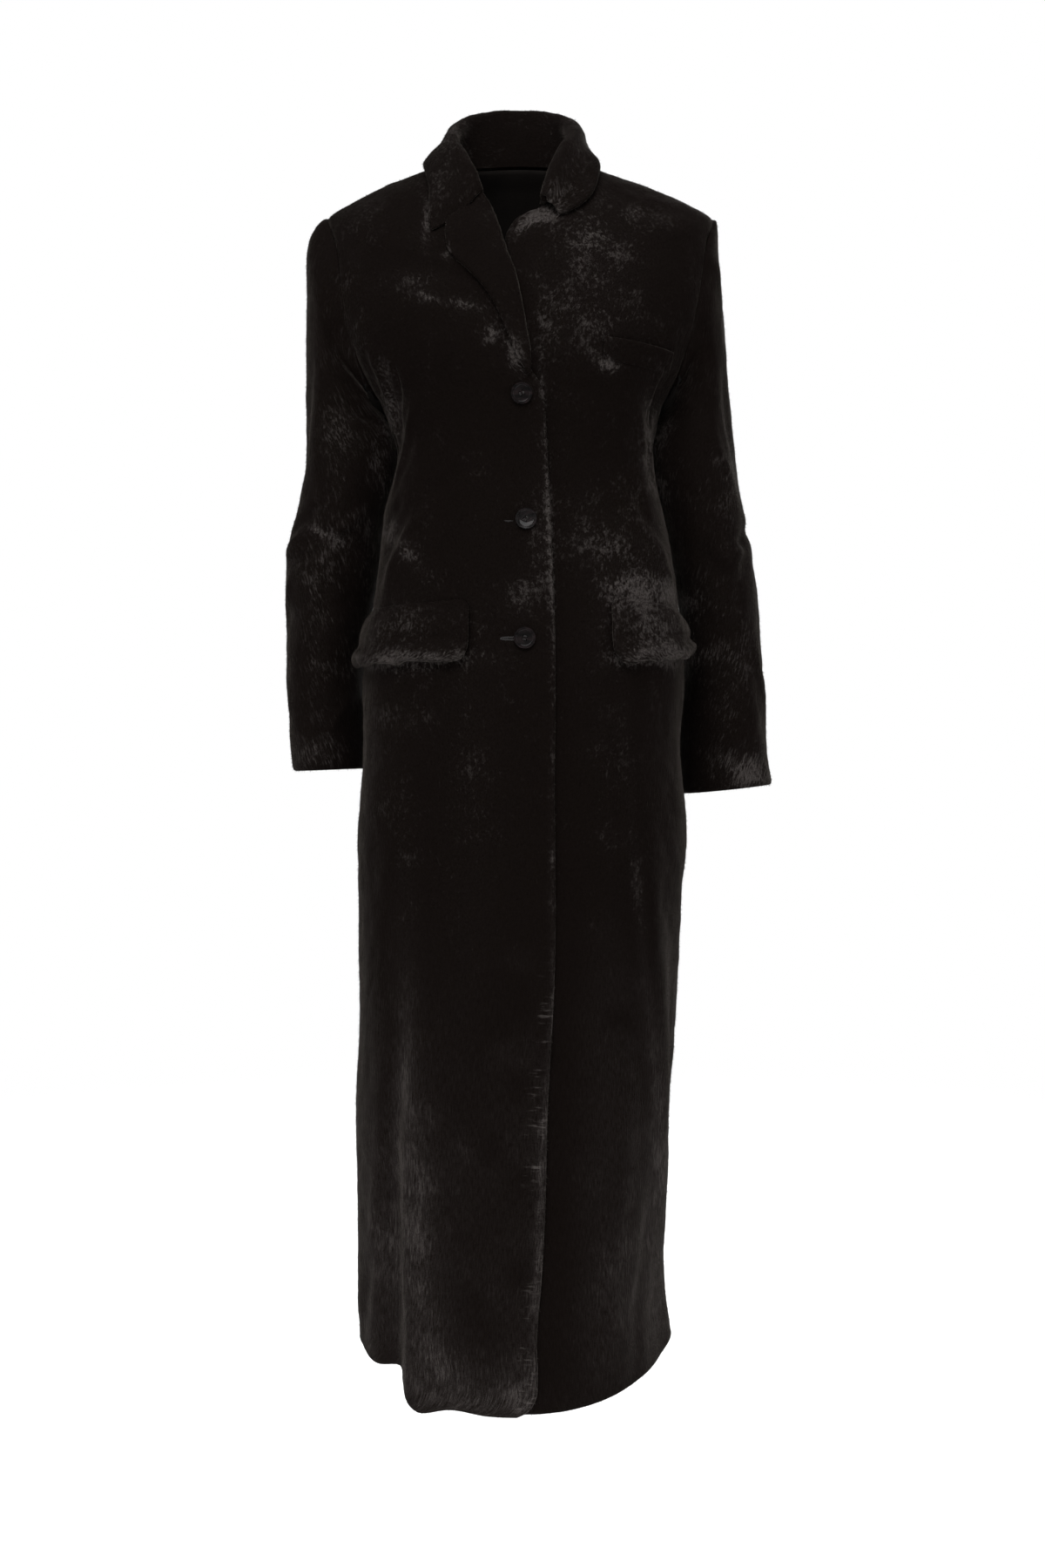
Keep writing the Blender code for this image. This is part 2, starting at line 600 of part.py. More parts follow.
def sleeve_ring(side, share, turns):
    """Points of one cross-section, square to the arm; turn 0 is outside, 90 degrees in front."""
    centre, half, deep = sleeve_frame(side, share)
    ahead, _, _ = sleeve_frame(side, min(share + 0.02, 1.0))
    behind, _, _ = sleeve_frame(side, max(share - 0.02, 0.0))
    arm = unit(ahead - behind)
    outside = np.array([side, 0.0, 0.0])
    outside = unit(outside - arm * np.dot(outside, arm))
    front = np.cross(arm, outside) * side
    if front[1] > 0:
        front = -front
    ring = centre + np.cos(turns)[:, None] * half * outside
    return ring + np.sin(turns)[:, None] * deep * front


def build_sleeve(side, look, collection):
    edge, edge_out = armhole_ring(side)
    count = len(edge)
    turns = np.arange(count) * 2.0 * math.pi / count
    run = np.roll(edge, -1, axis=0) - np.roll(edge, 1, axis=0)
    leaving = unit(np.cross(edge_out, unit(run)))
    hole = edge.mean(axis=0)
    towards = np.sum(leaving * (hole - edge), axis=-1) < 0
    leaving[towards] *= -1
    leaving = unit(leaving + 0.7 * np.array([side, 0.0, 0.0]))
    first = sleeve_ring(side, 0.0, turns)
    down = unit(sleeve_ring(side, 0.03, turns) - first)
    start = edge + SEAM * leaving
    length = np.linalg.norm(first - start, axis=-1) * 1.02 + CAP_SLACK
    upper = (1.0 + np.cos(turns)) / 2.0
    turn_length = smooth_curve((0.0, 0.5, 1.0), CAP_TURN, upper)
    turn_length = np.minimum(turn_length, 0.9 * length)
    rows = []
    for share in CAP_STEPS:
        gone = (share * length)[:, None]
        ray = start + leaving * gone
        drop = first - down * (length[:, None] - gone)
        rows.append(mix(ray, drop, smoothstep(gone / turn_length[:, None])))
    for share in np.linspace(0.0, 1.0, SLEEVE_ROWS):
        rows.append(sleeve_ring(side, share, turns))
    outer = np.array(rows)
    inside = slice(CAP_FIRST_SMOOTHED, len(CAP_STEPS))
    for _ in range(CAP_SMOOTHING):
        beside = (np.roll(outer, 1, axis=1) + np.roll(outer, -1, axis=1))[inside]
        before = outer[inside.start - 1 : inside.stop - 1]
        after = outer[inside.start + 1 : inside.stop + 1]
        outer[inside] = mix(outer[inside], (beside + before + after) / 4, 0.5)
    out = grid_normals(outer, closed=True)
    flip = np.sign(np.sum(out[-1] * (outer[-1] - outer[-1].mean(axis=0))))
    out = out * flip
    relief = np.zeros(outer.shape[:2])
    z = outer[..., 2]
    for crease in RIGHT_CREASES if side < 0 else LEFT_CREASES:
        gone = (crease.top - z) / (crease.top - crease.full)
        middle = mix(crease.around_top, crease.around_full, gone)
        away = (np.degrees(turns)[None, :] - middle + 180.0) % 360.0 - 180.0
        bump = np.exp(-((away / crease.width) ** 2))
        relief += crease.depth * fold_strength(crease, z) * bump
    outer = outer + out * relief[..., None]
    out = grid_normals(outer, closed=True) * flip
    inner = outer - WALL * out
    points, faces = wall_mesh(outer, inner, closed=True, rounding=(0.0, EDGE_ROUNDING, 0.0, 0.0))
    name = "sleeve_right" if side < 0 else "sleeve_left"
    add_piece(name, points, faces, look, collection)


def body_for(angle):
    """The surface of whichever panel lies at this angle."""
    turned = (math.degrees(angle) + 180.0) % 360.0 - 180.0
    return right_body if -90.0 < turned < 10.0 else left_body


def surface_trees():
    """The outsides of the panels, for finding how far a point is from them."""
    levels = body_levels()
    grids = [
        right_body(front_angles(-1, RIGHT_EDGE, levels)[:, ::-1], levels[:, None]),
        left_body(front_angles(1, LEFT_EDGE, levels), levels[:, None]),
        left_body(back_angles(levels), levels[:, None]),
    ]
    trees = []
    for grid in grids:
        rows, columns = grid.shape[:2]
        count = np.arange(rows * columns).reshape(rows, columns)
        corners = (count[:-1, :-1], count[:-1, 1:], count[1:, 1:], count[1:, :-1])
        faces = np.stack(corners, -1).reshape(-1, 4).tolist()
        trees.append(BVHTree.FromPolygons(grid.reshape(-1, 3).tolist(), faces))
    return trees


def panel_trees():
    """The finished panels with their whole thickness, for the same."""
    trees = []
    for name in ("front_right", "front_left", "back"):
        mesh = bpy.data.objects[name].data
        points = [vertex.co for vertex in mesh.vertices]
        faces = [list(face.vertices) for face in mesh.polygons]
        trees.append(BVHTree.FromPolygons(points, faces))
    return trees


def gap_to(trees, point):
    """How far outside the nearest of them a point is, and the way out."""
    found = [tree.find_nearest(point) for tree in trees]
    place, normal, _, gap = min(found, key=lambda hit: hit[3])
    return (gap if (point - place).dot(normal) >= 0 else -gap), normal


def shortfall(trees, point, distance):
    """What to add to a point so that it's this far outside the panels."""
    moved = Vector(point)
    for _ in range(4):
        gap, normal = gap_to(trees, moved)
        if gap >= distance:
            break
        moved = moved + normal * (distance - gap)
    return np.array(moved) - point


def settled(outer, inner, trees, columns, distance):
    """Both faces of a wall, moved out wherever the inner one lies too near the panels."""
    outer, inner = outer.copy(), inner.copy()
    for row in range(inner.shape[0]):
        for col in range(inner.shape[1])[columns]:
            need = shortfall(trees, inner[row, col], distance)
            inner[row, col] += need
            outer[row, col] += need
    return outer, inner


def collar_section(share, trees, panels):
    """Middle of the collar's skin across one station: up the stand, over, and down the fall."""
    half = TRIM_WALL / 2
    stand_angle = np.array(math.radians(along(COLLAR, "stand", share)))
    fall_angle = np.array(math.radians(along(COLLAR, "fall", share)))
    fall_level = np.array(along(COLLAR, "fall_level", share))
    surface = body_for(stand_angle)
    neck = surface(stand_angle, np.array(NECK))
    neck_out = normals(surface, stand_angle, np.array(NECK))
    rise = unit(neck - surface(stand_angle, np.array(NECK - SMALL_RISE)))
    surface = body_for(fall_angle)
    fall_out = normals(surface, fall_angle, fall_level)
    lying = surface(fall_angle, fall_level)
    fall = lying + fall_out * (half + FALL_RESTING)
    fall_rise = unit(surface(fall_angle, fall_level + SMALL_RISE) - lying)
    roll = np.array([along(COLLAR, "roll_" + axis, share) for axis in "xyz"])
    bend = along(COLLAR, "bend", share)
    seat = neck - neck_out * WALL / 2
    up = unit(roll - (seat + fall) / 2)
    across = fall - seat
    across = unit(across - up * np.dot(across, up))
    centre = roll - up * bend
    inside = centre - across * bend
    outside = centre + across * bend
    standing = unit(inside - seat)
    aside = unit(across - standing * np.dot(across, standing)) * half
    stand = seat + rise * SEAM
    while min(gap_to(panels, Vector(stand + way))[0] for way in (-aside, aside)) < 2 * SEAM:
        stand = stand + rise * SEAM
    line = [mix(stand, inside, step) for step in (0.0, 0.4, 0.8)]
    for turn in np.radians((0.0, 45.0, 90.0, 135.0, 180.0)):
        line.append(centre + bend * (up * math.sin(turn) - across * math.cos(turn)))
    sag = along(COLLAR, "sag", share)
    bulge = along(COLLAR, "bulge", share)
    length = np.linalg.norm(outside - fall)
    control = fall + fall_rise * 0.5 * length + fall_out * bulge
    control = control - np.array([0.0, 0.0, sag])
    for step in (0.25, 0.5, 0.75, 1.0):
        near, far = mix(outside, control, step), mix(control, fall, step)
        place = mix(near, far, step)
        line.append(place + shortfall(trees, place, half + FALL_RESTING))
    return line


def build_collar(look, collection):
    trees = surface_trees()
    shares = np.linspace(0.0, 1.0, COLLAR_ROWS)
    panels = panel_trees()
    middle = np.array([collar_section(share, trees, panels) for share in shares])
    out = grid_normals(middle, closed=False) * TRIM_WALL / 2
    if np.sum(out[:, 5] * (middle[:, 5] - middle[:, 0])) < 0:
        out = -out
    outer, inner = settled(middle + out, middle - out, trees, slice(8, None), FALL_RESTING)
    rounding = (EDGE_ROUNDING, EDGE_ROUNDING, 0.0, EDGE_ROUNDING)
    points, faces = wall_mesh(outer, inner, rounding=rounding)
    add_piece("collar", points, faces, look, collection)


def build_lapel(look, collection):
    """The rolled right lapel: a flat leg on the front, and a turn round the front's edge."""
    trees = surface_trees()[:1]
    half = TRIM_WALL / 2
    rows, outs = [], []
    for share in np.linspace(0.0, 1.0, LAPEL_ROWS):
        roll = np.array([along(LAPEL, "roll_x", share), along(LAPEL, "roll_z", share)])
        edge = np.array([along(LAPEL, "edge_x", share), along(LAPEL, "edge_z", share)])
        inward = unit(edge - roll)
        leg_start = edge - inward * half
        leg_end = roll + inward * (half + LAPEL_ROLL)
        places = np.array([mix(leg_start, leg_end, step) for step in np.linspace(0, 1, 6)])
        angle, level = find_on_front(places[:, 0], places[:, 1])
        out = normals(right_body, angle, level)
        leg = right_body(angle, level) + out * (half + RESTING)
        leg = [point + shortfall(trees, point, half + RESTING) for point in leg]
        ahead = unit(leg[-1] - leg[-2])
        ahead = unit(ahead - out[-1] * np.dot(ahead, out[-1]))
        centre = leg[-1] - out[-1] * LAPEL_ROLL
        turn_to = math.radians(along(LAPEL, "turn", share))
        turns = np.linspace(0.0, turn_to, 6)[1:, None]
        round_it = out[-1] * np.cos(turns) + ahead * np.sin(turns)
        rows.append(np.concatenate([leg, centre + LAPEL_ROLL * round_it]))
        outs.append(np.concatenate([out, round_it]))
    middle, out = np.array(rows), np.array(outs) * half
    outer, inner = settled(middle + out, middle - out, trees, slice(0, 6), RESTING)
    rounding = (EDGE_ROUNDING, 0.0, EDGE_ROUNDING, 0.0)
    points, faces = wall_mesh(outer, inner, rounding=rounding)
    add_piece("lapel_right", points, faces, look, collection)


def build_flap(name, flap, look, collection):
    """A pocket flap that lies round the hip, thick along its foot, with a round front corner."""
    surface = right_body if flap.back_angle < 0 else left_body
    side = math.copysign(1.0, flap.back_angle)
    back = math.radians(flap.back_angle)
    steps = np.linspace(0.0, 1.0, FLAP_COLUMNS)
    angles, levels, shares = [], [], []
    for share in np.sin(np.linspace(0.0, math.pi / 2, FLAP_ROWS)):
        middle_z = mix(flap.top_front, flap.foot_front, share)
        start, _ = find_on_front(flap.front_x, middle_z)
        above = (1.0 - share) * (flap.top_front - flap.foot_front)
        bite = max(FLAP_CORNER - above, 0.0)
        inset = FLAP_CORNER - math.sqrt(FLAP_CORNER**2 - bite**2)
        start = float(start) + side * inset / ring_value("front", middle_z)
        angles.append(start + (back - start) * steps)
        top = mix(flap.top_front, flap.top_back, steps)
        foot = mix(flap.foot_front, flap.foot_back, steps)
        levels.append(mix(top, foot, share))
        shares.append(np.full(FLAP_COLUMNS, share))
    angles, levels, shares = np.array(angles), np.array(levels), np.array(shares)
    base = surface(angles, levels)
    out = normals(surface, angles, levels)
    inner = base + out * mix(FLAP_TOP[0], FLAP_FOOT[0], shares)[..., None]
    outer = base + out * mix(FLAP_TOP[1], FLAP_FOOT[1], shares)[..., None]
    rounding = (0.0, 2 * EDGE_ROUNDING, EDGE_ROUNDING, EDGE_ROUNDING)
    points, faces = wall_mesh(outer, inner, rounding=rounding)
    add_piece("flap_" + name, points, faces, look, collection)


def build_welt(look, collection):
    tilt = math.radians(WELT_TILT)
    right = np.array([math.cos(tilt), math.sin(tilt)])
    up = np.array([-math.sin(tilt), math.cos(tilt)])
    places = np.array(
        [
            [
                np.array(WELT_CENTRE) + right * WELT_LENGTH * across + up * WELT_HEIGHT * rise
                for across in np.linspace(-0.5, 0.5, 8)
            ]
            for rise in np.linspace(-0.5, 0.5, 4)
        ]
    )
    angle, level = find_on_front(places[..., 0], places[..., 1])
    out = normals(left_body, angle, level)
    base = left_body(angle, level)
    rounding = (EDGE_ROUNDING / 2, EDGE_ROUNDING, EDGE_ROUNDING / 2, EDGE_ROUNDING / 2)
    points, faces = wall_mesh(base + out * WELT_THICKNESS, base + out * RESTING, rounding=rounding)
    add_piece("breast_welt", points, faces, look, collection)


def button_profile():
    """From the middle of the dish out over the rim and down to the middle of the underside."""
    dish = BUTTON_HEIGHT - BUTTON_DISH
    inner = BUTTON_RADIUS - BUTTON_RIM
    return (
        (0.0, dish),
        (inner - 0.8 * MM, dish),
        (inner, dish + 0.4 * MM),
        (inner + 0.9 * MM, BUTTON_HEIGHT),
        (BUTTON_RADIUS - 0.9 * MM, BUTTON_HEIGHT - 0.1 * MM),
        (BUTTON_RADIUS, BUTTON_HEIGHT - 1.0 * MM),
        (BUTTON_RADIUS - 0.4 * MM, 0.9 * MM),
        (BUTTON_RADIUS - 2.2 * MM, 0.0),
        (0.0, 0.0),
    )


def button_cutter(name, collection):
    """Four short rods that cut the button's thread holes."""
    bpy.ops.object.select_all(action="DESELECT")
    rods = []
    for corner in range(4):
        turn = math.radians(45 + 90 * corner)
        reach = BUTTON_HOLE_SPACING / math.sqrt(2)
        bpy.ops.mesh.primitive_cylinder_add(
            vertices=6,
            radius=BUTTON_HOLE,
            depth=4 * BUTTON_HEIGHT,
            location=(reach * math.cos(turn), reach * math.sin(turn), BUTTON_HEIGHT / 2),
        )
        rods.append(bpy.context.object)
    for rod in rods:
        rod.select_set(True)
    bpy.ops.object.join()
    cutter = bpy.context.object
    bpy.ops.object.transform_apply(location=True, rotation=True, scale=True)
    cutter.name = name
    for owner in list(cutter.users_collection):
        owner.objects.unlink(cutter)
    collection.objects.link(cutter)
    cutter.hide_render = True
    cutter.display_type = "WIRE"
    return cutter


def build_buttons(look, collection, cutters):
    profile = button_profile()
    mesh = bpy.data.meshes.new("button")
    mesh.from_pydata(
        [(radius, 0.0, height) for radius, height in profile],
        [(i, i + 1) for i in range(len(profile) - 1)],
        [],
    )
    mesh.materials.append(look)
    for number, (x, z) in enumerate(BUTTON_PLACES, start=1):
        angle, level = find_on_front(x, z)
        out = Vector(normals(right_body, angle, level))
        place = Vector(right_body(angle, level)) + out * SEAM
        side = Vector((0.0, 0.0, 1.0)).cross(out).normalized()
        frame = Matrix((side, out.cross(side), out)).transposed().to_4x4()
        frame.translation = place
        button = bpy.data.objects.new(f"button_{number}", mesh.copy())
        collection.objects.link(button)
        turned = button.modifiers.new("Turned", "SCREW")
        turned.axis = "Z"
        turned.steps = BUTTON_STEPS
        turned.render_steps = BUTTON_STEPS
        turned.use_merge_vertices = True
        turned.merge_threshold = 0.00001
        cutter = button_cutter(f"button_holes_{number}", cutters)
        holes = button.modifiers.new("Thread holes", "BOOLEAN")
        holes.operation = "DIFFERENCE"
        holes.solver = "EXACT"
        holes.object = cutter
        button.matrix_world = frame
        cutter.matrix_world = frame


def main():
    clear_scene()
    coat = new_collection("shearling_coat")
    cutters = new_collection("cutters")
    pile = material("black_sheared_pile", (0.012, 0.010, 0.009), 0.85, sheen=0.4)
    trim = material("black_sheared_pile_trim", (0.014, 0.012, 0.011), 0.85, sheen=0.4)
    horn = material("black_button", (0.010, 0.009, 0.009), 0.22, coat=0.6)
    build_body(pile, coat)
    for side in (-1, 1):
        build_sleeve(side, pile, coat)
    build_collar(trim, coat)
    build_lapel(trim, coat)
    for name, flap in FLAPS.items():
        build_flap(name, flap, trim, coat)
    build_welt(trim, coat)
    build_buttons(horn, coat, cutters)


main()
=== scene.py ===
"""A long, black, sheared-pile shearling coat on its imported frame.

Metres, +Z up, the wearer faces -Y. The cut pieces are walls with two faces and a rounded free
edge. They have the frame's folds with finer creases, soft seams and a layer of short fibres.
"""

import math
from collections import namedtuple

import bpy
import numpy as np
from bpy.props import FloatProperty, FloatVectorProperty, IntProperty, PointerProperty
from mathutils import Matrix, Vector
from mathutils.bvhtree import BVHTree


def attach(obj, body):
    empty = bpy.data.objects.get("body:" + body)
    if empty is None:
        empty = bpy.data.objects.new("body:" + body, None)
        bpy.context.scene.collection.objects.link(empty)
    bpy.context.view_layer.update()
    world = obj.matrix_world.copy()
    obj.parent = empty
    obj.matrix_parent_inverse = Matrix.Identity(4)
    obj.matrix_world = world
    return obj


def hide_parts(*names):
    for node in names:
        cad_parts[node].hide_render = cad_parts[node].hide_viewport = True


bl_info = {
    "name": "Shearling coat",
    "version": (1, 0, 0),
    "blender": (4, 5, 0),
    "location": "3D Viewport > Sidebar > Coat",
    "description": "Makes a long sheared-pile coat, piece by piece, on its packed frame",
    "category": "Add Mesh",
}

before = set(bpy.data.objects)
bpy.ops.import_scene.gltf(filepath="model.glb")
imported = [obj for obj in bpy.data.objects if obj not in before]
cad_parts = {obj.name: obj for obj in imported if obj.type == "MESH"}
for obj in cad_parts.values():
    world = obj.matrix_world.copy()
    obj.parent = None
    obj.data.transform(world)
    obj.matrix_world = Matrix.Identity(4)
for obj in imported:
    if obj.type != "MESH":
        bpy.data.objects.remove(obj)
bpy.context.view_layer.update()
MM = 0.001


def named_rows(names, *rows):
    """A table: the names of its columns, then its rows of numbers."""
    row = namedtuple("Row", names)
    return tuple(row(*values) for values in rows)


# ---- the coat's own sizes

WALL = 7.0 * MM  # skin with its sheared pile
TRIM_WALL = 6.5 * MM  # collar and lapel
SEAM = 0.3 * MM  # left between two pieces that are sewn together
RESTING = 0.9 * MM  # left under a piece that lies on another
FALL_RESTING = 1.5 * MM  # the same under the collar
OVERLAP_LIFT = 8.5 * MM  # the right front, where it laps over the left one
OVERLAP_RAMP = 58.0 * MM
OVERLAP_MARGIN = 6.0 * MM

HEM = -1.221
UNDERARM = -0.235
SHOULDER_TIP = -0.027
NECK = 0.036
ARMHOLE_FRONT = 21.0  # degrees
ARMHOLE_BACK = 23.0
FRONT_WIDTH = 0.265
BACK_WIDTH = 0.470
SLEEVE_GIRTH = 0.36
SMALL_TURN = 0.002  # steps for finding the way out of a surface
SMALL_RISE = 0.0005

EDGE_PLACES = (0.0, 0.25, 0.8, 1.6, 2.6, 3.8, 5.6)  # mm from an edge, where rows lie closer
FAR = 9.0  # more metres than any piece has
RIM_OUT = 0.12 * MM  # how far the middle of an edge stands out
FRINGE = 6.0 * MM  # from an edge or a seam, where the fibres are denser or sparser

PILE, TRIM = "black_sheared_pile", "black_sheared_pile_trim"
# For each node: slot, flat size, flat area, how the cloth is held, and what it rests on
SHEETS = {
    "front_right": (PILE, (0.300, 1.300), 0.352, "hung", ["back"]),
    "front_left": (PILE, (0.300, 1.300), 0.354, "hung", ["back"]),
    "back": (PILE, (0.540, 1.330), 0.604, "hung", ["collar"]),
    "sleeve_right": (PILE, (0.370, 0.600), 0.170, "hung", ["front_right", "back"]),
    "sleeve_left": (PILE, (0.370, 0.600), 0.170, "hung", ["front_left", "back"]),
    "collar": (TRIM, (0.480, 0.140), 0.057, "folded", ["back", "front_right", "front_left"]),
    "lapel_right": (TRIM, (0.075, 0.215), 0.0096, "folded", ["front_right"]),
    "flap_right": (TRIM, (0.190, 0.075), 0.0125, "hung", ["front_right"]),
    "flap_left": (TRIM, (0.145, 0.075), 0.0094, "hung", ["front_left"]),
    "breast_welt": (TRIM, (0.078, 0.026), 0.0019, "laid", ["front_left"]),
}

RINGS = named_rows(
    "level front_z back_z right left front back square",
    (-1.26, -1.289, -1.268, 0.1715, 0.156, 0.186, 0.15, 2.4),
    (-1.221, -1.248, -1.228, 0.172, 0.1535, 0.185, 0.149, 2.4),
    (-1.145, -1.16, -1.148, 0.1735, 0.1465, 0.182, 0.148, 2.4),
    (-1.06, -1.066, -1.061, 0.1755, 0.15, 0.179, 0.147, 2.45),
    (-0.99, -0.992, -0.99, 0.1775, 0.1565, 0.174, 0.145, 2.5),
    (-0.9, -0.9, -0.9, 0.175, 0.163, 0.167, 0.142, 2.5),
    (-0.77, -0.77, -0.77, 0.175, 0.17, 0.156, 0.138, 2.4),
    (-0.69, -0.69, -0.69, 0.176, 0.1755, 0.15, 0.136, 2.4),
    (-0.6, -0.6, -0.6, 0.171, 0.169, 0.144, 0.134, 2.4),
    (-0.515, -0.515, -0.515, 0.1705, 0.1735, 0.138, 0.131, 2.4),
    (-0.44, -0.44, -0.44, 0.159, 0.166, 0.131, 0.123, 2.4),
    (-0.396, -0.396, -0.396, 0.1535, 0.1605, 0.126, 0.113, 2.4),
    (-0.342, -0.342, -0.342, 0.1475, 0.15, 0.12, 0.1, 2.4),
    (-0.309, -0.309, -0.309, 0.1385, 0.142, 0.118, 0.093, 2.4),
    (-0.277, -0.277, -0.277, 0.135, 0.1405, 0.119, 0.09, 2.4),
    (-0.257, -0.257, -0.257, 0.142, 0.1445, 0.121, 0.09, 2.4),
    (-0.235, -0.236, -0.234, 0.15, 0.15, 0.123, 0.092, 2.4),
    (-0.2, -0.205, -0.197, 0.176, 0.172, 0.127, 0.099, 2.45),
    (-0.15, -0.165, -0.144, 0.203, 0.197, 0.126, 0.106, 2.5),
    (-0.1, -0.132, -0.093, 0.216, 0.211, 0.121, 0.108, 2.4),
    (-0.06, -0.108, -0.056, 0.214, 0.21, 0.113, 0.104, 2.3),
    (-0.027, -0.091, -0.025, 0.206, 0.201, 0.106, 0.095, 2.2),
    (-0.012, -0.084, -0.006, 0.1845, 0.175, 0.102, 0.089, 2.15),
    (0.007, -0.0755, 0.014, 0.149, 0.131, 0.095, 0.081, 2.1),
    (0.0225, -0.069, 0.032, 0.11, 0.09, 0.088, 0.071, 2),
    (0.036, -0.064, 0.05, 0.084, 0.066, 0.083, 0.058, 2),
    (0.048, -0.046, 0.068, 0.078, 0.06, 0.084, 0.056, 2),
    (0.06, -0.02, 0.085, 0.074, 0.056, 0.085, 0.056, 2),
)

# A fold starts at `top`, has its full depth at `full` and ends at `end`. A negative depth is a
# trough, and `drop` is how much lower the skin hangs there.
FOLDS = named_rows(
    "top full end angle_top angle_full depth width drop",
    (-0.7, -1.12, -9, -31, -31.5, 0.01, 7.5, 0.012),
    (-0.8, -1.14, -9, -42, -44.5, -0.013, 6.5, -0.01),
    (-0.85, -1.15, -9, -66, -66, 0.004, 9, -0.007),
    (-0.5, -1.05, -9, 38, 60, 0.007, 7, -0.008),
    (-0.55, -1.05, -9, 53, 76, -0.006, 8, -0.009),
    (-0.6, -1.1, -9, 112, 116, 0.008, 9, 0),
    (-0.64, -1.12, -9, 131, 134, -0.009, 8, 0),
    (-0.52, -1.15, -9, 157, 152, 0.012, 9, 0.004),
    (-0.58, -1.12, -9, 178, 176, -0.009, 9, 0),
    (-0.62, -1.16, -9, -158, -154, 0.012, 9, 0.005),
    (-0.7, -1.12, -9, -132, -130, -0.01, 8, 0),
    (-0.66, -1.12, -9, -112, -108, 0.008, 8, 0),
    (-0.06, -0.17, -0.29, -32, -34, 0.004, 17, 0),
    (-0.06, -0.17, -0.29, 32, 34, 0.004, 17, 0),
    (-0.17, -0.24, -0.3, -58, -68, -0.005, 6, 0),
    (-0.16, -0.23, -0.29, 60, 70, -0.004, 6, 0),
    (-0.32, -0.38, -0.45, -48, -62, -0.003, 5, 0),
    (0.06, 0.036, -0.03, 4, 4, 0, 30, -0.018),
    (-0.24, -0.3, -0.37, 166, 172, -0.004, 12, 0),
)

# The front edges, seen from the front
RIGHT_EDGE = named_rows(
    "z x",
    (-1.252, -0.015), (-1.244, 0.0034), (-1.232, 0.0125), (-1.215, 0.0146), (-1.181, 0.0136),
    (-1.12, 0.0179), (-1.06, 0.0213), (-0.95, 0.0245), (-0.83, 0.031), (-0.636, 0.0315),
    (-0.46, 0.0316), (-0.372, 0.0281), (-0.302, 0.0246), (-0.25, 0.0213), (-0.236, 0.019),
    (-0.226, 0.013), (-0.216, 0.0055), (-0.207, 0.0005), (-0.195, -0.002), (-0.18, -0.0045),
    (-0.144, -0.011), (-0.098, -0.0255), (-0.058, -0.0385), (-0.03, -0.048),
)
LEFT_EDGE = named_rows(
    "z x",
    (-1.26, -0.02), (-1.245, -0.026), (-1.2, -0.029), (-0.4, -0.029), (-0.22, -0.027),
    (-0.14, -0.019), (-0.093, -0.016), (-0.0755, -0.0155), (-0.069, -0.0085), (-0.064, 0.0045),
)

SLEEVE = named_rows(
    "right_z right_x right_half left_z left_x left_half y half_depth",
    (-0.257, -0.191, 0.0459, -0.257, 0.1882, 0.0411, 0.01, 0.066),
    (-0.277, -0.188, 0.0502, -0.277, 0.187, 0.0447, 0.012, 0.067),
    (-0.303, -0.1895, 0.0502, -0.303, 0.1891, 0.0449, 0.015, 0.067),
    (-0.35, -0.1992, 0.0478, -0.35, 0.1984, 0.0439, 0.021, 0.066),
    (-0.397, -0.2087, 0.0515, -0.398, 0.2093, 0.0435, 0.028, 0.065),
    (-0.444, -0.212, 0.0458, -0.446, 0.2165, 0.0435, 0.038, 0.063),
    (-0.491, -0.2177, 0.0435, -0.495, 0.2217, 0.0427, 0.048, 0.061),
    (-0.537, -0.2185, 0.0411, -0.545, 0.2237, 0.0457, 0.055, 0.06),
    (-0.58, -0.2185, 0.0407, -0.595, 0.2249, 0.0469, 0.059, 0.059),
    (-0.62, -0.217, 0.0388, -0.641, 0.2295, 0.0495, 0.06, 0.058),
)
SLEEVE_ROWS = 13
ARMHOLE_ROWS = 10
CAP_STEPS = (0.0, 0.05, 0.12, 0.20, 0.30, 0.43, 0.58, 0.74, 0.88)
CAP_TURN = (0.010, 0.032, 0.030)
CAP_SLACK = 0.006
CAP_SMOOTHING = 3
CAP_FIRST_SMOOTHED = 3
CAP_EASING = 26  # times that the fine cap is smoothed

CREASE = "top full end angle_top angle_full depth width"
RIGHT_CREASES = named_rows(
    CREASE,
    (-0.16, -0.26, -0.34, 50, 20, -0.005, 16),
    (-0.34, -0.375, -0.41, 30, 95, -0.006, 22),
    (-0.38, -0.42, -0.47, 100, 120, -0.004, 20),
    (-0.3, -0.4, -0.48, 230, 250, -0.005, 20),
    (-0.46, -0.53, -0.6, 60, 50, 0.003, 24),
)
LEFT_CREASES = named_rows(
    CREASE,
    (-0.16, -0.26, -0.36, 55, 30, -0.005, 15),
    (-0.34, -0.39, -0.46, 25, 40, -0.005, 16),
    (-0.36, -0.41, -0.47, 110, 90, -0.004, 20),
    (-0.3, -0.4, -0.48, 230, 250, -0.005, 20),
    (-0.52, -0.585, -0.66, 70, 55, 0.004, 24),
)

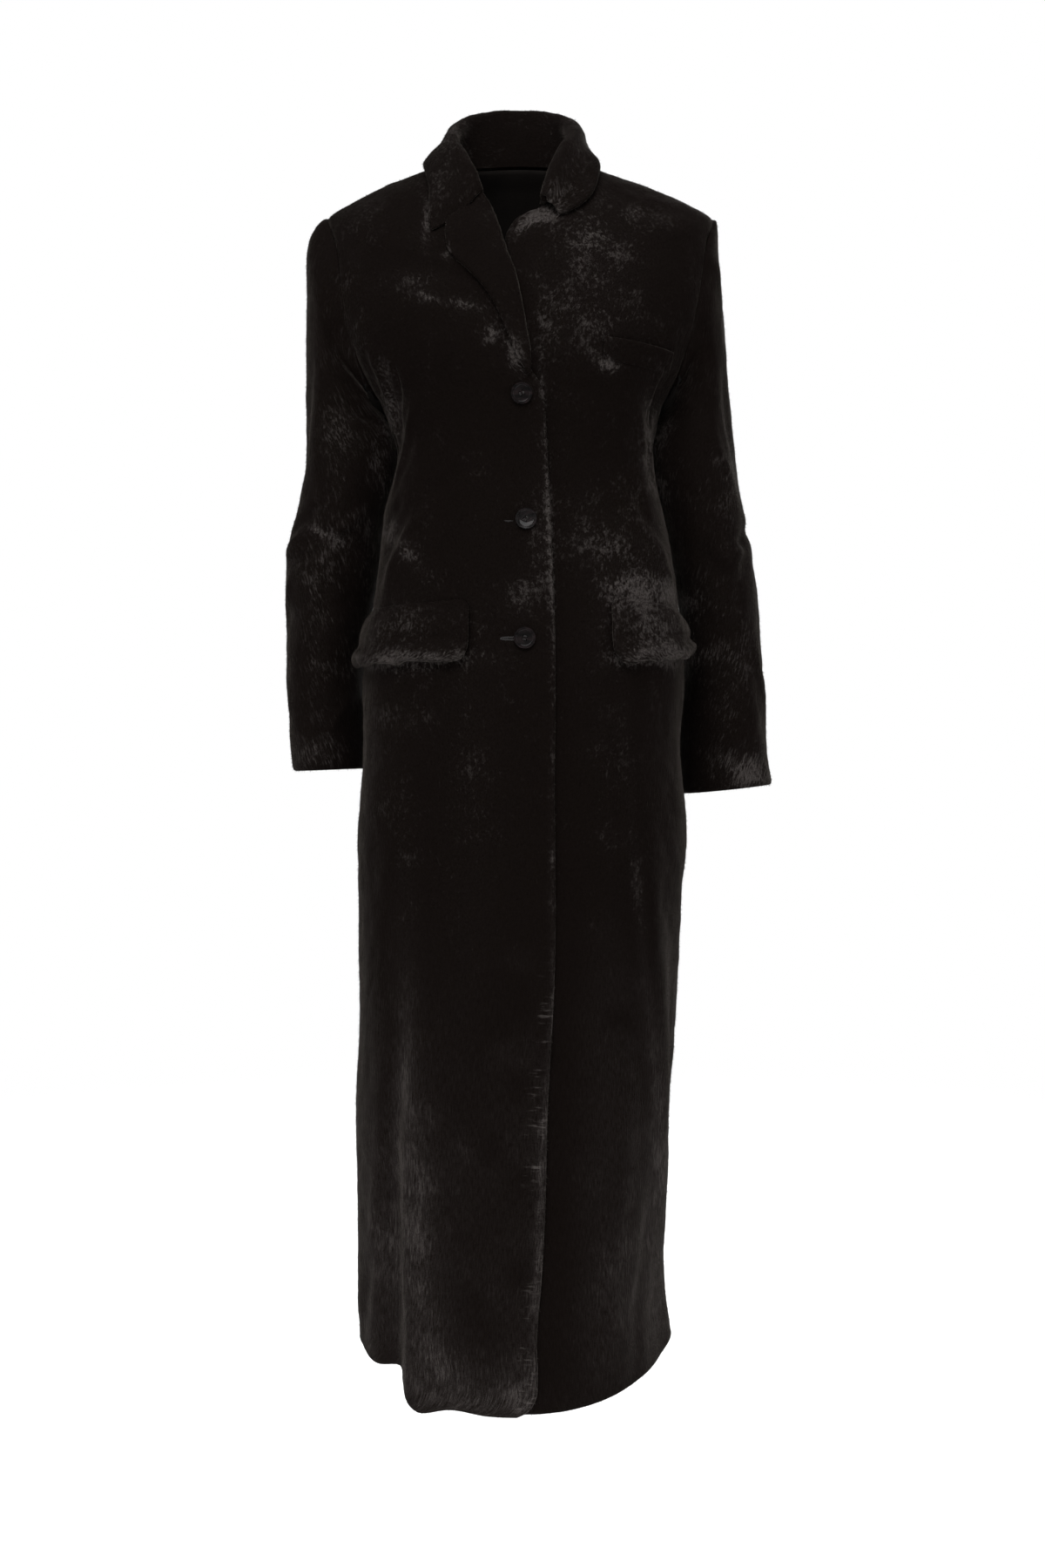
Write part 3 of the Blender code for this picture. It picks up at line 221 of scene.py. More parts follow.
COLLAR = named_rows(
    "roll_x roll_y roll_z bend stand fall fall_level sag bulge",
    (-0.044, -0.093, -0.0214, 0.0054, -35.6, -46.1, -0.0124, 0.02, 0.003),
    (-0.0495, -0.0805, -0.005, 0.0055, -46, -55, 0.0115, 0.003, 0.005),
    (-0.063, -0.053, 0.027, 0.006, -63, -69.5, 0.0215, 0, 0.01),
    (-0.073, -0.012, 0.062, 0.007, -90, -97, 0.025, 0, 0.01),
    (-0.062, 0.034, 0.096, 0.007, -128, -134, 0.016, 0, 0.006),
    (-0.033, 0.06, 0.112, 0.007, -158, -160, 0.008, 0, 0.003),
    (-0.005, 0.065, 0.115, 0.007, -180, -180, 0.006, 0, 0.003),
    (0.025, 0.058, 0.112, 0.007, -204, -202, 0.008, 0, 0.003),
    (0.0475, 0.032, 0.095, 0.0075, -232, -229, 0.018, 0, 0.006),
    (0.0525, -0.008, 0.0665, 0.008, -268, -264, 0.029, 0, 0.009),
    (0.0385, -0.05, 0.029, 0.007, -302, -293, 0.0235, 0, 0.006),
    (0.0285, -0.076, -0.003, 0.0058, -329, -314, 0.017, 0, 0.004),
    (0.0225, -0.088, -0.0285, 0.0052, -345, -335, 0.015, 0, 0.003),
)
COLLAR_FOLD = 5.0 / 11.0  # where its roll is, as a share of the places across it
COLLAR_ROWS = 34
COLLAR_LENGTH = 0.46
COLLAR_WIDTH = 0.115

LAPEL = named_rows(
    "roll_x roll_z edge_x edge_z turn",
    (0.0112, -0.219, 0.0035, -0.2275, 20),
    (0.0096, -0.201, -0.007, -0.212, 70),
    (0.0035, -0.17, -0.0201, -0.1831, 140),
    (-0.0018, -0.1454, -0.0324, -0.156, 150),
    (-0.0088, -0.1186, -0.0519, -0.1282, 150),
    (-0.0158, -0.0992, -0.0695, -0.108, 140),
    (-0.023, -0.0738, -0.0787, -0.095, 120),
    (-0.0312, -0.051, -0.0808, -0.0822, 90),
    (-0.0393, -0.0322, -0.0808, -0.0716, 60),
)
LAPEL_ROWS = 14
LAPEL_ROLL = 4.0 * MM
LAPEL_LENGTH = 0.215
LAPEL_WIDTH = 0.070

Flap = namedtuple("Flap", "front_x back_angle width top_front top_back foot_front foot_back")
FLAPS = {
    "right": Flap(-0.0515, -84.0, 0.135, -0.4520, -0.4540, -0.5160, -0.5115),
    "left": Flap(0.0888, 84.0, 0.105, -0.4465, -0.4570, -0.5160, -0.4985),
}
FLAP_HEIGHT = 0.060
FLAP_FREE = ("foot", "start", "end")
FLAP_CORNER = 18.0 * MM
FLAP_TOP_CORNER = 14.0 * MM
FLAP_INSIDE = (0.9 * MM, 3.0 * MM)  # its inner face off the hip, at its top and its foot
FLAP_OUTSIDE = (2.4 * MM, 13.5 * MM)

WELT_CENTRE = (0.1175, -0.1985)
WELT_LENGTH = 74.0 * MM
WELT_HEIGHT = 22.0 * MM
WELT_TILT = -3.0
WELT_OUTSIDE = (1.3 * MM, 4.6 * MM)  # its face off the front, at its foot and its top

BUTTON_PLACES = ((-0.0009, -0.2440), (0.0035, -0.3720), (0.0022, -0.4920))
BUTTON_RADIUS = 11.0 * MM
BUTTON_HEIGHT = 4.0 * MM
BUTTON_DISH = 1.3 * MM  # how deep its face lies in the rim
HOLE_MIDDLE = 0.42  # from the button to the buttonhole's middle, as a share of its length
STITCHES = {"Spacing": 0.00075, "Stitch length": 0.0026, "Thread radius": 0.00034}

SENSOR = 36.0
FOCAL_LENGTH = 1.04  # as a share of the picture's height
# Softboxes: place, the level they're aimed at, width, height and watts
SOFTBOXES = {
    "left": ((-2.6, -1.6, 0.4), -0.6, 1.2, 2.4, 26.0),
    "right": ((2.6, -1.6, 0.4), -0.6, 1.2, 2.4, 26.0),
    "top": ((0.0, -1.0, 2.2), -0.3, 2.2, 1.6, 26.0),
    "front": ((-0.6, -3.2, 2.1), -0.6, 2.6, 1.8, 120.0),
    "low": ((0.9, -3.4, -1.1), -0.6, 1.2, 0.5, 10.0),
    "back": ((0.7, 3.0, 1.2), -0.6, 2.4, 1.8, 60.0),
}

# ---- finer detail, placed one by one

# A soft trough or ridge on the body: middle, as an angle round the body and a level, the way it
# runs in degrees from level, half its length, half its width, and its depth, outwards positive
WRINKLE = "angle level turn half_length half_width depth"
BODY_WRINKLES = named_rows(
    WRINKLE,
    # from the shoulder to the top button
    (-44, -0.06, -10, 0.035, 0.01, 0.0016), (-24, -0.075, -22, 0.04, 0.009, 0.0022),
    (-15, -0.105, -40, 0.03, 0.008, 0.0018), (-20, -0.1, -28, 0.04, 0.008, -0.0016),
    # under the right arm
    (-66, -0.215, 70, 0.03, 0.0042, 0.0034), (-60, -0.235, 62, 0.034, 0.004, -0.0034),
    (-71, -0.25, 78, 0.032, 0.004, 0.0034), (-56, -0.262, 50, 0.026, 0.0045, 0.0026),
    (-78, -0.285, 84, 0.03, 0.005, -0.0024), (-66, -0.3, 72, 0.03, 0.006, 0.002),
    # waist, wearer's right
    (-48, -0.368, 52, 0.03, 0.008, 0.0026), (-58, -0.4, 62, 0.032, 0.008, 0.0022),
    (-66, -0.36, 40, 0.026, 0.008, -0.0022), (-38, -0.33, 30, 0.03, 0.009, -0.0016),
    # under the left arm
    (62, -0.215, -68, 0.028, 0.005, 0.0022), (68, -0.245, -74, 0.03, 0.005, -0.0024),
    (60, -0.27, -58, 0.026, 0.006, 0.0022), (72, -0.3, -80, 0.032, 0.006, 0.0022),
    (56, -0.35, -52, 0.034, 0.009, -0.002), (44, -0.38, -40, 0.036, 0.01, 0.0018),
    (66, -0.405, -62, 0.03, 0.009, 0.002), (24, -0.415, -18, 0.034, 0.01, 0.0012),
    (10, -0.3, -70, 0.05, 0.01, -0.001),
    # skirt
    (-14, -0.64, 84, 0.12, 0.014, 0.0014), (-24, -0.8, 88, 0.16, 0.012, -0.0016),
    (-37, -0.96, 88, 0.15, 0.009, 0.0022), (-27, -1.06, 84, 0.12, 0.007, -0.002),
    (-36.5, -1.12, 92, 0.11, 0.006, 0.002), (-52, -1.05, 86, 0.16, 0.01, 0.0022),
    (-58, -1.15, 74, 0.08, 0.009, -0.002), (-12, -1.12, 60, 0.07, 0.014, 0.0016),
    (-6, -1.185, 24, 0.06, 0.01, 0.0014), (20, -0.8, 88, 0.2, 0.016, -0.0014),
    (32, -1.05, 84, 0.15, 0.012, 0.0016), (44, -1.13, 80, 0.1, 0.01, -0.0018),
    (68, -0.98, 86, 0.12, 0.008, 0.0022), (72, -1.12, 96, 0.09, 0.008, 0.002),
    (88, -0.7, 88, 0.14, 0.012, -0.0022), (-88, -0.76, 92, 0.16, 0.012, -0.002),
    # sides and back
    (96, -0.3, -50, 0.03, 0.007, 0.0024), (-98, -0.3, 52, 0.03, 0.007, 0.0022),
    (112, -0.255, -34, 0.036, 0.007, -0.0024), (-116, -0.25, 36, 0.036, 0.007, -0.0022),
    (128, -0.3, -18, 0.046, 0.009, 0.0024), (-132, -0.31, 16, 0.05, 0.009, 0.0026),
    (150, -0.335, -8, 0.05, 0.01, -0.0022), (-158, -0.33, 9, 0.046, 0.01, -0.002),
    (176, -0.29, 4, 0.05, 0.01, 0.0022), (140, -0.12, -58, 0.05, 0.012, -0.002),
    (-142, -0.125, 60, 0.054, 0.012, -0.0022), (158, -0.18, -74, 0.05, 0.012, 0.0018),
    (-165, -0.17, 72, 0.05, 0.012, 0.0016), (120, -0.45, -64, 0.05, 0.012, 0.0022),
    (-124, -0.46, 60, 0.05, 0.012, 0.002), (165, -0.76, 86, 0.16, 0.014, -0.0022),
    (-172, -0.9, 92, 0.16, 0.012, 0.0022), (143, -1, 84, 0.14, 0.011, 0.0024),
    (-144, -0.98, 96, 0.15, 0.011, -0.0024), (-120, -1.04, 88, 0.13, 0.011, 0.0022),
    (122, -0.9, 92, 0.15, 0.011, -0.0022), (168, -1.12, 82, 0.08, 0.009, 0.002),
)

# The same on the sleeves: the angle goes round the arm, 0 outside, 90 in front, 180 inside
RIGHT_SLEEVE_WRINKLES = named_rows(
    WRINKLE,
    (60, -0.08, -70, 0.04, 0.009, 0.0016), (100, -0.15, -60, 0.04, 0.008, -0.002),
    (130, -0.215, -38, 0.026, 0.006, 0.0022), (120, -0.245, -30, 0.028, 0.006, -0.0022),
    (40, -0.355, 26, 0.034, 0.006, -0.0026), (55, -0.372, 22, 0.038, 0.006, 0.0034),
    (60, -0.395, 14, 0.036, 0.006, -0.0024), (110, -0.36, 40, 0.03, 0.006, 0.0022),
    (20, -0.44, 60, 0.04, 0.008, 0.002), (80, -0.47, 70, 0.05, 0.008, -0.0018),
    (30, -0.54, -60, 0.04, 0.009, 0.0018), (120, -0.56, 50, 0.034, 0.008, 0.0018),
    (250, -0.37, -20, 0.036, 0.008, -0.0026), (230, -0.41, 14, 0.036, 0.008, 0.0024),
    (300, -0.33, 40, 0.04, 0.009, 0.002), (290, -0.5, 60, 0.05, 0.01, -0.0018),
    (320, -0.2, 70, 0.05, 0.01, -0.0016),
)
LEFT_SLEEVE_WRINKLES = named_rows(
    WRINKLE,
    (60, -0.09, 66, 0.04, 0.009, 0.0016), (105, -0.16, 56, 0.04, 0.008, -0.002),
    (130, -0.225, 34, 0.026, 0.006, 0.0022), (60, -0.29, 60, 0.04, 0.008, 0.002),
    (30, -0.37, -24, 0.034, 0.007, -0.0024), (60, -0.392, -16, 0.036, 0.007, 0.0028),
    (100, -0.38, -42, 0.03, 0.006, -0.0022), (70, -0.45, -66, 0.05, 0.009, -0.0018),
    (30, -0.52, 70, 0.05, 0.009, 0.0018), (75, -0.585, -30, 0.03, 0.008, 0.0022),
    (50, -0.615, -16, 0.03, 0.007, -0.0018), (245, -0.38, 20, 0.036, 0.008, -0.0026),
    (235, -0.42, -12, 0.036, 0.008, 0.0024), (300, -0.33, -40, 0.04, 0.009, 0.002),
    (285, -0.52, -62, 0.05, 0.01, -0.0018), (320, -0.21, -70, 0.05, 0.01, -0.0016),
)
AROUND_BODY = 0.155  # metres for a radian, for the wrinkles' lengths
AROUND_ARM = 0.056
SLEEVES = {
    -1: ("right", RIGHT_CREASES, RIGHT_SLEEVE_WRINKLES),
    1: ("left", LEFT_CREASES, LEFT_SLEEVE_WRINKLES),
}

# Painted sheen highlights: places where the pile's disturbed nap catches the light and is painted
# lighter,
# seen from the front: x, z, how far it reaches across and up, how it's turned, and how strong it
# is
PAINTED_SHEEN = named_rows(
    "x z across up turn strength",
    # left chest
    (0.079, -0.094, 0.044, 0.05, 0, 0.54), (0.07, -0.08, 0.016, 0.018, 0, 0.3),
    (0.07, -0.176, 0.056, 0.034, 0, 0.38), (0.127, -0.046, 0.034, 0.012, -20, 0.45),
    (0.086, -0.213, 0.011, 0.007, -10, 0.95), (0.02, -0.15, 0.012, 0.04, 10, 0.35),
    # by the lapel's break
    (-0.007, -0.2075, 0.008, 0.018, 15, 1), (0.018, -0.225, 0.006, 0.018, 8, 0.45),
    # from the shoulder to the button
    (-0.0966, -0.145, 0.012, 0.006, -10, 0.8), (-0.0536, -0.157, 0.024, 0.007, -16, 0.85),
    (-0.0325, -0.186, 0.01, 0.01, -30, 0.8), (-0.11, -0.125, 0.04, 0.012, 0, 0.4),
    (-0.099, -0.06, 0.004, 0.024, 0, 0.7), (-0.076, -0.098, 0.005, 0.01, 0, 0.8),
    # the unrolled lapel's top edge
    (0.006, -0.06, 0.028, 0.009, 45, 1), (0.03, -0.048, 0.014, 0.007, 10, 0.8),
    # under the arms
    (-0.136, -0.25, 0.01, 0.036, 8, 0.9), (-0.15, -0.3, 0.008, 0.03, 0, 0.45),
    (0.136, -0.262, 0.016, 0.04, -8, 0.8), (0.144, -0.32, 0.014, 0.03, 0, 0.6),
    # waist
    (-0.122, -0.392, 0.01, 0.036, 40, 0.75),
    # the right front's edge
    (0.0265, -0.375, 0.003, 0.13, 2.5, 0.8), (0.03, -0.72, 0.003, 0.2, 0, 0.55),
    (0.0225, -0.96, 0.0035, 0.12, -4, 0.75), (0.0145, -1.15, 0.004, 0.11, -3, 0.85),
    # between the buttons
    (0.0176, -0.4, 0.012, 0.06, 0, 0.5), (-0.004, -0.45, 0.014, 0.022, 0, 0.45),
    # over the left flap
    (0.108, -0.396, 0.036, 0.044, 0, 0.52), (0.136, -0.438, 0.044, 0.012, 0, 1),
    (0.062, -0.38, 0.016, 0.03, 0, 0.4),
    # flaps
    (0.136, -0.476, 0.046, 0.024, 0, 0.7), (0.136, -0.508, 0.05, 0.01, 6, 1),
    (-0.12, -0.474, 0.046, 0.024, 0, 0.4), (-0.11, -0.5115, 0.06, 0.009, 0, 1),
    # skirt
    (-0.05, -0.64, 0.026, 0.18, 0, 0.2), (-0.118, -0.82, 0.012, 0.17, 0, 0.3),
    (-0.117, -0.96, 0.012, 0.1, -3, 0.42), (-0.112, -1.04, 0.018, 0.09, 0, 0.62),
    (-0.108, -1.13, 0.03, 0.08, 0, 0.58), (-0.15, -1.11, 0.014, 0.12, 0, 0.6),
    (-0.045, -1.236, 0.054, 0.026, 6, 0.7), (-0.004, -1.215, 0.02, 0.034, 0, 0.5),
    (-0.08, -1.205, 0.04, 0.03, 0, 0.55), (0.017, -1.04, 0.01, 0.16, 0, 0.25),
    (-0.095, -1.06, 0.05, 0.19, 0, 0.3), (0.104, -1.13, 0.048, 0.1, -6, 0.72),
    (0.126, -0.86, 0.006, 0.24, 5, 0.45), (0.142, -1.06, 0.012, 0.13, 0, 0.75),
    # sleeves
    (-0.206, -0.372, 0.022, 0.006, -24, 0.85), (-0.215, -0.48, 0.07, 0.2, 0, 0.28),
    (0.225, -0.46, 0.07, 0.22, 0, 0.28), (-0.19, -0.3, 0.006, 0.07, 0, 0.12),
    (-0.222, -0.44, 0.01, 0.07, 0, 0.25), (-0.228, -0.6, 0.03, 0.014, 0, 0.5),
    (0.246, -0.622, 0.032, 0.02, -10, 0.9), (0.214, -0.316, 0.012, 0.04, 0, 0.3),
    (0.232, -0.52, 0.012, 0.06, -10, 0.22),
    # collar
    (-0.075, 0.08, 0.03, 0.036, 30, 0.55), (-0.088, 0, 0.02, 0.06, 0, 0.38),
    (-0.06, -0.02, 0.012, 0.05, 30, 0.2), (0.062, 0.01, 0.022, 0.06, 0, 0.32),
    (0.034, -0.024, 0.016, 0.012, 0, 0.3), (0.045, 0.096, 0.03, 0.024, -30, 0.45),
)

# ---- settings that a user changes


def metres(name, description, default, **limits):
    limits.update(subtype="DISTANCE", unit="LENGTH")
    return FloatProperty(name=name, description=description, default=default, **limits)


def number(name, description, default, **more):
    return FloatProperty(name=name, description=description, default=default, **more)


def tint(name, description, default):
    return FloatVectorProperty(
        name=name, description=description, default=default, subtype="COLOR"
    )


class CoatMesh(bpy.types.PropertyGroup):
    """How finely the coat is made and how its seams and edges are finished."""

    spacing: metres(
        "Spacing", "Distance between the rows of a panel's mesh", 0.0042, min=0.002, max=0.02
    )
    seam_depth: metres("Seam depth", "How deep the pile dips along a seam", 0.0004)
    seam_width: metres("Seam width", "How far from a seam the dip reaches", 0.0055)
    lump_depth: metres("Lump height", "Height of the soft unevenness of the sheared pile", 0.0016)
    wrinkles: number(
        "Wrinkles", "Share of the placed wrinkles' depth", 1.35, min=0.0, max=2.0, subtype="FACTOR"
    )
    wrap: metres("Pile wrap", "How far the pile goes round a free edge to the inside", 0.012)


class CoatPile(bpy.types.PropertyGroup):
    """The short fibres and the pile's colours."""

    density: number("Fibre density", "Fibres for each square metre of pile", 76000.0, min=0.0)
    length: metres("Fibre length", "Length of one fibre, root included", 0.0030)
    width: metres("Fibre width", "Radius of one fibre at its root", 0.00022)
    sunk: metres("Root depth", "How far a fibre's root lies under the pile", 0.0009)
    lean: number("Nap", "How strongly the fibres lean downwards", 0.75, subtype="FACTOR")
    seed: IntProperty(name="Seed", description="Which of the random spreads is made", default=7)
    deep: tint("Pile", "Colour of the pile where it lies smooth", (0.0030, 0.0019, 0.0015))
    # colour of the painted sheen highlights, where the pile's nap is disturbed
    lit: tint("Brushed pile", "Colour of the pile where it is brushed up", (0.084, 0.074, 0.070))
    hide: tint("Hide", "Colour of the hide's inner face", (0.0040, 0.0034, 0.0030))


class CoatButtons(bpy.types.PropertyGroup):
    """Buttons, their thread and the buttonholes."""

    radius: metres("Button radius", "Half the width of a button", BUTTON_RADIUS)
    height: metres("Button height", "Thickness of a button at its rim", BUTTON_HEIGHT)
    hole_spacing: metres("Hole spacing", "Distance between two neighbouring thread holes", 0.0034)
    buttonhole: metres("Buttonhole length", "Length of a buttonhole", 0.026)
    colour: tint("Button", "Colour of the buttons", (0.0030, 0.0026, 0.0026))


class CoatStage(bpy.types.PropertyGroup):
    """Camera, floor and lights."""

    camera_distance: metres("Camera distance", "From the camera to the coat's middle plane", 1.764)
    camera_height: metres("Camera height", "Camera height over the origin", -0.636)
    floor_height: metres("Floor height", "Height of the floor over the origin", -1.400)
    background: number("Background", "Brightness of the plain background", 1.0)
    daylight: number("Daylight", "Even light from all round", 0.30)
    softboxes: number("Softboxes", "Share of the softboxes' full power", 1.0)


# ---- small maths


def smoothstep(value):
    value = np.clip(value, 0.0, 1.0)
    return value * value * (3.0 - 2.0 * value)


def mix(first, second, share):
    return first + (second - first) * share


def unit(vectors):
    return vectors / np.linalg.norm(vectors, axis=-1, keepdims=True)


def half_turn(degrees):
    """The same angle, from -180 to 180 degrees."""
    return (degrees + 180.0) % 360.0 - 180.0


def smooth_curve(places, values, at):
    """A smooth curve through the values at the rising places, read at `at`; flat past its ends."""
    places = np.asarray(places, float)
    values = np.asarray(values, float)
    at = np.clip(at, places[0], places[-1])
    slopes = np.gradient(values, places, axis=0)
    low = np.clip(np.searchsorted(places, at, side="right") - 1, 0, len(places) - 2)
    step = places[low + 1] - places[low]
    share = (at - places[low]) / step
    more = (...,) + (None,) * (values.ndim - 1)
    step, share = step[more], share[more]
    square, cube = share**2, share**3
    return (
        (2 * cube - 3 * square + 1) * values[low]
        + (cube - 2 * square + share) * step * slopes[low]
        + (3 * square - 2 * cube) * values[low + 1]
        + (cube - square) * step * slopes[low + 1]
    )


def column(table, name):
    """One column of a table, as a list."""
    return [getattr(row, name) for row in table]


def along(table, name, at):
    """One column of a table whose rows are evenly spaced from 0 to 1, read at `at`."""
    return smooth_curve(np.linspace(0.0, 1.0, len(table)), column(table, name), np.asarray(at))


def lattice(x, y, z, seed):
    """A fixed random number from 0 to 1 for each whole place."""
    x, y, z = (place.astype(np.uint32) for place in (x, y, z))
    mixed = x * np.uint32(374761393) + y * np.uint32(668265263) + z * np.uint32(2246822519)
    mixed = mixed + np.uint32(seed * 3266489917 % 2**32)
    mixed = (mixed ^ (mixed >> np.uint32(13))) * np.uint32(1274126177)
    mixed = (mixed ^ (mixed >> np.uint32(16))) * np.uint32(2654435761)
    return ((mixed >> np.uint32(8)) & np.uint32(0xFFFF)).astype(float) / 65535.0


def cloud(points, size, seed):
    """Smooth random values from -1 to 1 whose lumps are about `size` across."""
    scaled = points / size + 1000.0
    whole = np.floor(scaled).astype(np.int64)
    share = smoothstep(scaled - whole)
    total = 0.0
    for corner in range(8):
        step = np.array([corner & 1, corner >> 1 & 1, corner >> 2 & 1])
        weight = np.prod(np.where(step, share, 1.0 - share), axis=-1)
        at = whole + step
        total = total + weight * lattice(at[..., 0], at[..., 1], at[..., 2], seed)
    return 2.0 * total - 1.0


# ---- objects


def coat_collection():
    found = bpy.data.collections.get("coat_dressed")
    if not found:
        found = bpy.data.collections.new("coat_dressed")
        bpy.context.scene.collection.children.link(found)
    return found


def linked(name, data, collection=None):
    """A new object with this data, in the coat's collection or another."""
    made = bpy.data.objects.new(name, data)
    (collection or coat_collection()).objects.link(made)
    return made


def evaluated_mesh(piece, **more):
    """A plain mesh of what a piece's modifiers make of it."""
    bpy.context.view_layer.update()
    graph = bpy.context.evaluated_depsgraph_get()
    return bpy.data.meshes.new_from_object(piece.evaluated_get(graph), depsgraph=graph, **more)


# ---- the body's surface


def edge_x(edge, z):
    """Where a front edge is across the coat, at a height."""
    return smooth_curve(column(edge, "z"), column(edge, "x"), z)


def ring_value(name, level):
    """One of the body's measures at a level."""
    return smooth_curve(column(RINGS, "level"), column(RINGS, name), np.asarray(level))


def torso(angle, level):
    """The outside of the body's skin with no folds; angles in radians."""
    angle, level = np.broadcast_arrays(angle, level)
    across, ahead = np.sin(angle), np.cos(angle)
    side = np.where(across < 0, ring_value("right", level), ring_value("left", level))
    deep = np.where(ahead > 0, ring_value("front", level), ring_value("back", level))
    tip = np.where(ahead > 0, ring_value("front_z", level), ring_value("back_z", level))
    square = ring_value("square", level)
    reach = (np.abs(across / side) ** square + np.abs(ahead / deep) ** square) ** (-1 / square)
    x = reach * across
    z = level + (tip - level) * (1.0 - (x / side) ** 2)
    return np.stack([x, -reach * ahead, z], -1)


def fold_strength(fold, level):
    """0 above a fold's top, 1 at its full level and 0 past its end."""
    rising = smoothstep((fold.top - level) / (fold.top - fold.full))
    return rising * smoothstep((level - fold.end) / (fold.full - fold.end))


def fold_shape(fold, degrees, level):
    """A fold's share of its depth at a place; its middle moves as it runs down."""
    gone = (fold.top - level) / (fold.top - fold.full)
    away = half_turn(degrees - mix(fold.angle_top, fold.angle_full, gone))
    return fold_strength(fold, level) * np.exp(-((away / fold.width) ** 2))


def fold_sum(angle, level, name):
    """The folds' depth or drop at a place, summed over all of them."""
    total = np.zeros(np.broadcast(angle, level).shape)
    for fold in FOLDS:
        total += getattr(fold, name) * fold_shape(fold, np.degrees(angle), level)
    return total


def overlap_lift(x, z):
    """How far the right front is lifted where it laps over the left one."""
    full_at = edge_x(LEFT_EDGE, z) - OVERLAP_MARGIN
    return OVERLAP_LIFT * smoothstep((x - full_at + OVERLAP_RAMP) / OVERLAP_RAMP)


def normals(surface, angle, level):
    """Directions out of a surface, from small differences."""
    turn = surface(angle + SMALL_TURN, level) - surface(angle - SMALL_TURN, level)
    rise = surface(angle, level + SMALL_RISE) - surface(angle, level - SMALL_RISE)
    return unit(np.cross(turn, rise))


def folded(angle, level, lift):
    """The torso with its folds and a further lift."""
    out = fold_sum(angle, level, "depth") + lift
    place = torso(angle, level) + normals(torso, angle, level) * out[..., None]
    place[..., 2] -= fold_sum(angle, level, "drop")
    return place


def left_body(angle, level):
    """The outside of the left front and the back."""
    return folded(angle, level, 0.0)


def right_body(angle, level):
    """The outside of the right front, lifted where it laps over the left one."""
    base = torso(angle, level)
    return folded(angle, level, overlap_lift(base[..., 0], base[..., 2]))


def angle_at(x, level):
    """The angle at which a ring's front half passes x."""
    side = np.where(x < 0, ring_value("right", level), ring_value("left", level))
    square = ring_value("square", level)
    across = np.clip(np.abs(x) / side, 0.0, 0.9999)
    ahead = ring_value("front", level) * (1.0 - across**square) ** (1.0 / square)
    return np.arctan2(x, ahead)


def halved(low, high, short):
    """Where a rising value reaches its aim, found by halving what lies between two limits."""
    for _ in range(40):
        middle = (low + high) / 2
        below = short(middle)
        low, high = np.where(below, middle, low), np.where(below, high, middle)
    return middle


def find_on_front(x, z):
    """The angle and level of the body's point that is seen at (x, z) from the front."""
    x, z = np.broadcast_arrays(np.asarray(x, float), np.asarray(z, float))

    def short(level):
        return torso(angle_at(x, level), level)[..., 2] < z

    level = halved(np.full(x.shape, HEM), np.full(x.shape, RINGS[-1].level), short)
    return angle_at(x, level), level


def edge_angle(edge, levels):
    """The angle at which each ring meets a front edge."""

    def short(x):
        return x < edge_x(edge, torso(angle_at(x, levels), levels)[..., 2])

    x = halved(np.full(levels.shape, -0.100), np.full(levels.shape, 0.060), short)
    return angle_at(x, levels)


def armhole_share(levels):
    """0 at the underarm and at the shoulder tip, 1 at mid height, as round as an oval."""
    height = np.clip((levels - UNDERARM) / (SHOULDER_TIP - UNDERARM), 0.0, 1.0)
    return np.sqrt(np.clip(1.0 - (2.0 * height - 1.0) ** 2, 0.0, 1.0))


def seam_turn(levels):
    """Half a seam's gap at the body's side, as an angle."""
    return 0.5 * SEAM / np.minimum(ring_value("right", levels), ring_value("left", levels))


# ---- grids of points


def spread(length, step, fine_start=True, fine_end=True):
    """Places from 0 to 1 along a length, about `step` apart and closer at its fine ends."""
    near = np.array(EDGE_PLACES) * MM
    start = near if fine_start else near[:1]
    end = length - near[::-1] if fine_end else np.array([length])
    count = max(int(round((end[0] - start[-1]) / step)), 1)
    middle = np.linspace(start[-1], end[0], count + 1)[1:-1]
    return np.concatenate([start, middle, end]) / length


def armhole_levels(rows):
    """Levels up the armhole, closer at both its ends, as on an oval."""
    oval = (1.0 - np.cos(np.linspace(0.0, math.pi, rows + 1))) / 2.0
    return mix(UNDERARM, SHOULDER_TIP, oval)


def fine_levels(step):
    """The rows of all panels, closer at the hem, the armhole and over the shoulder."""
    height = UNDERARM - HEM
    skirt = HEM + spread(height, step, fine_end=False) * height
    armhole = armhole_levels(int(round(1.15 * (SHOULDER_TIP - UNDERARM) / step)))[1:]
    rows = int(round(1.9 * (NECK - SHOULDER_TIP) / step))
    shoulder = np.linspace(SHOULDER_TIP, NECK, rows + 1)[1:]
    return np.concatenate([skirt, armhole, shoulder])


def front_angles(side, edge, levels, shares):
    """The columns of a front, from its edge to the side seam and the armhole."""
    start = edge_angle(edge, levels)
    back_off = math.radians(ARMHOLE_FRONT) * armhole_share(levels) + seam_turn(levels)
    end = side * (math.pi / 2 - back_off)
    return start[:, None] + (end - start)[:, None] * shares


def back_angles(levels, shares):
    """The columns of the back, from side seam to side seam."""
    back_off = math.radians(ARMHOLE_BACK) * armhole_share(levels) + seam_turn(levels)
    start = math.pi / 2 + back_off
    end = 3 * math.pi / 2 - back_off
    return start[:, None] + (end - start)[:, None] * shares


def grid_normals(grid, closed):
    """Directions out of a grid of points, from its neighbours; rows run down, columns round."""
    down = np.gradient(grid, axis=0)
    if closed:
        round_it = np.roll(grid, -1, axis=1) - np.roll(grid, 1, axis=1)
    else:
        round_it = np.gradient(grid, axis=1)
    return unit(np.cross(round_it, down))


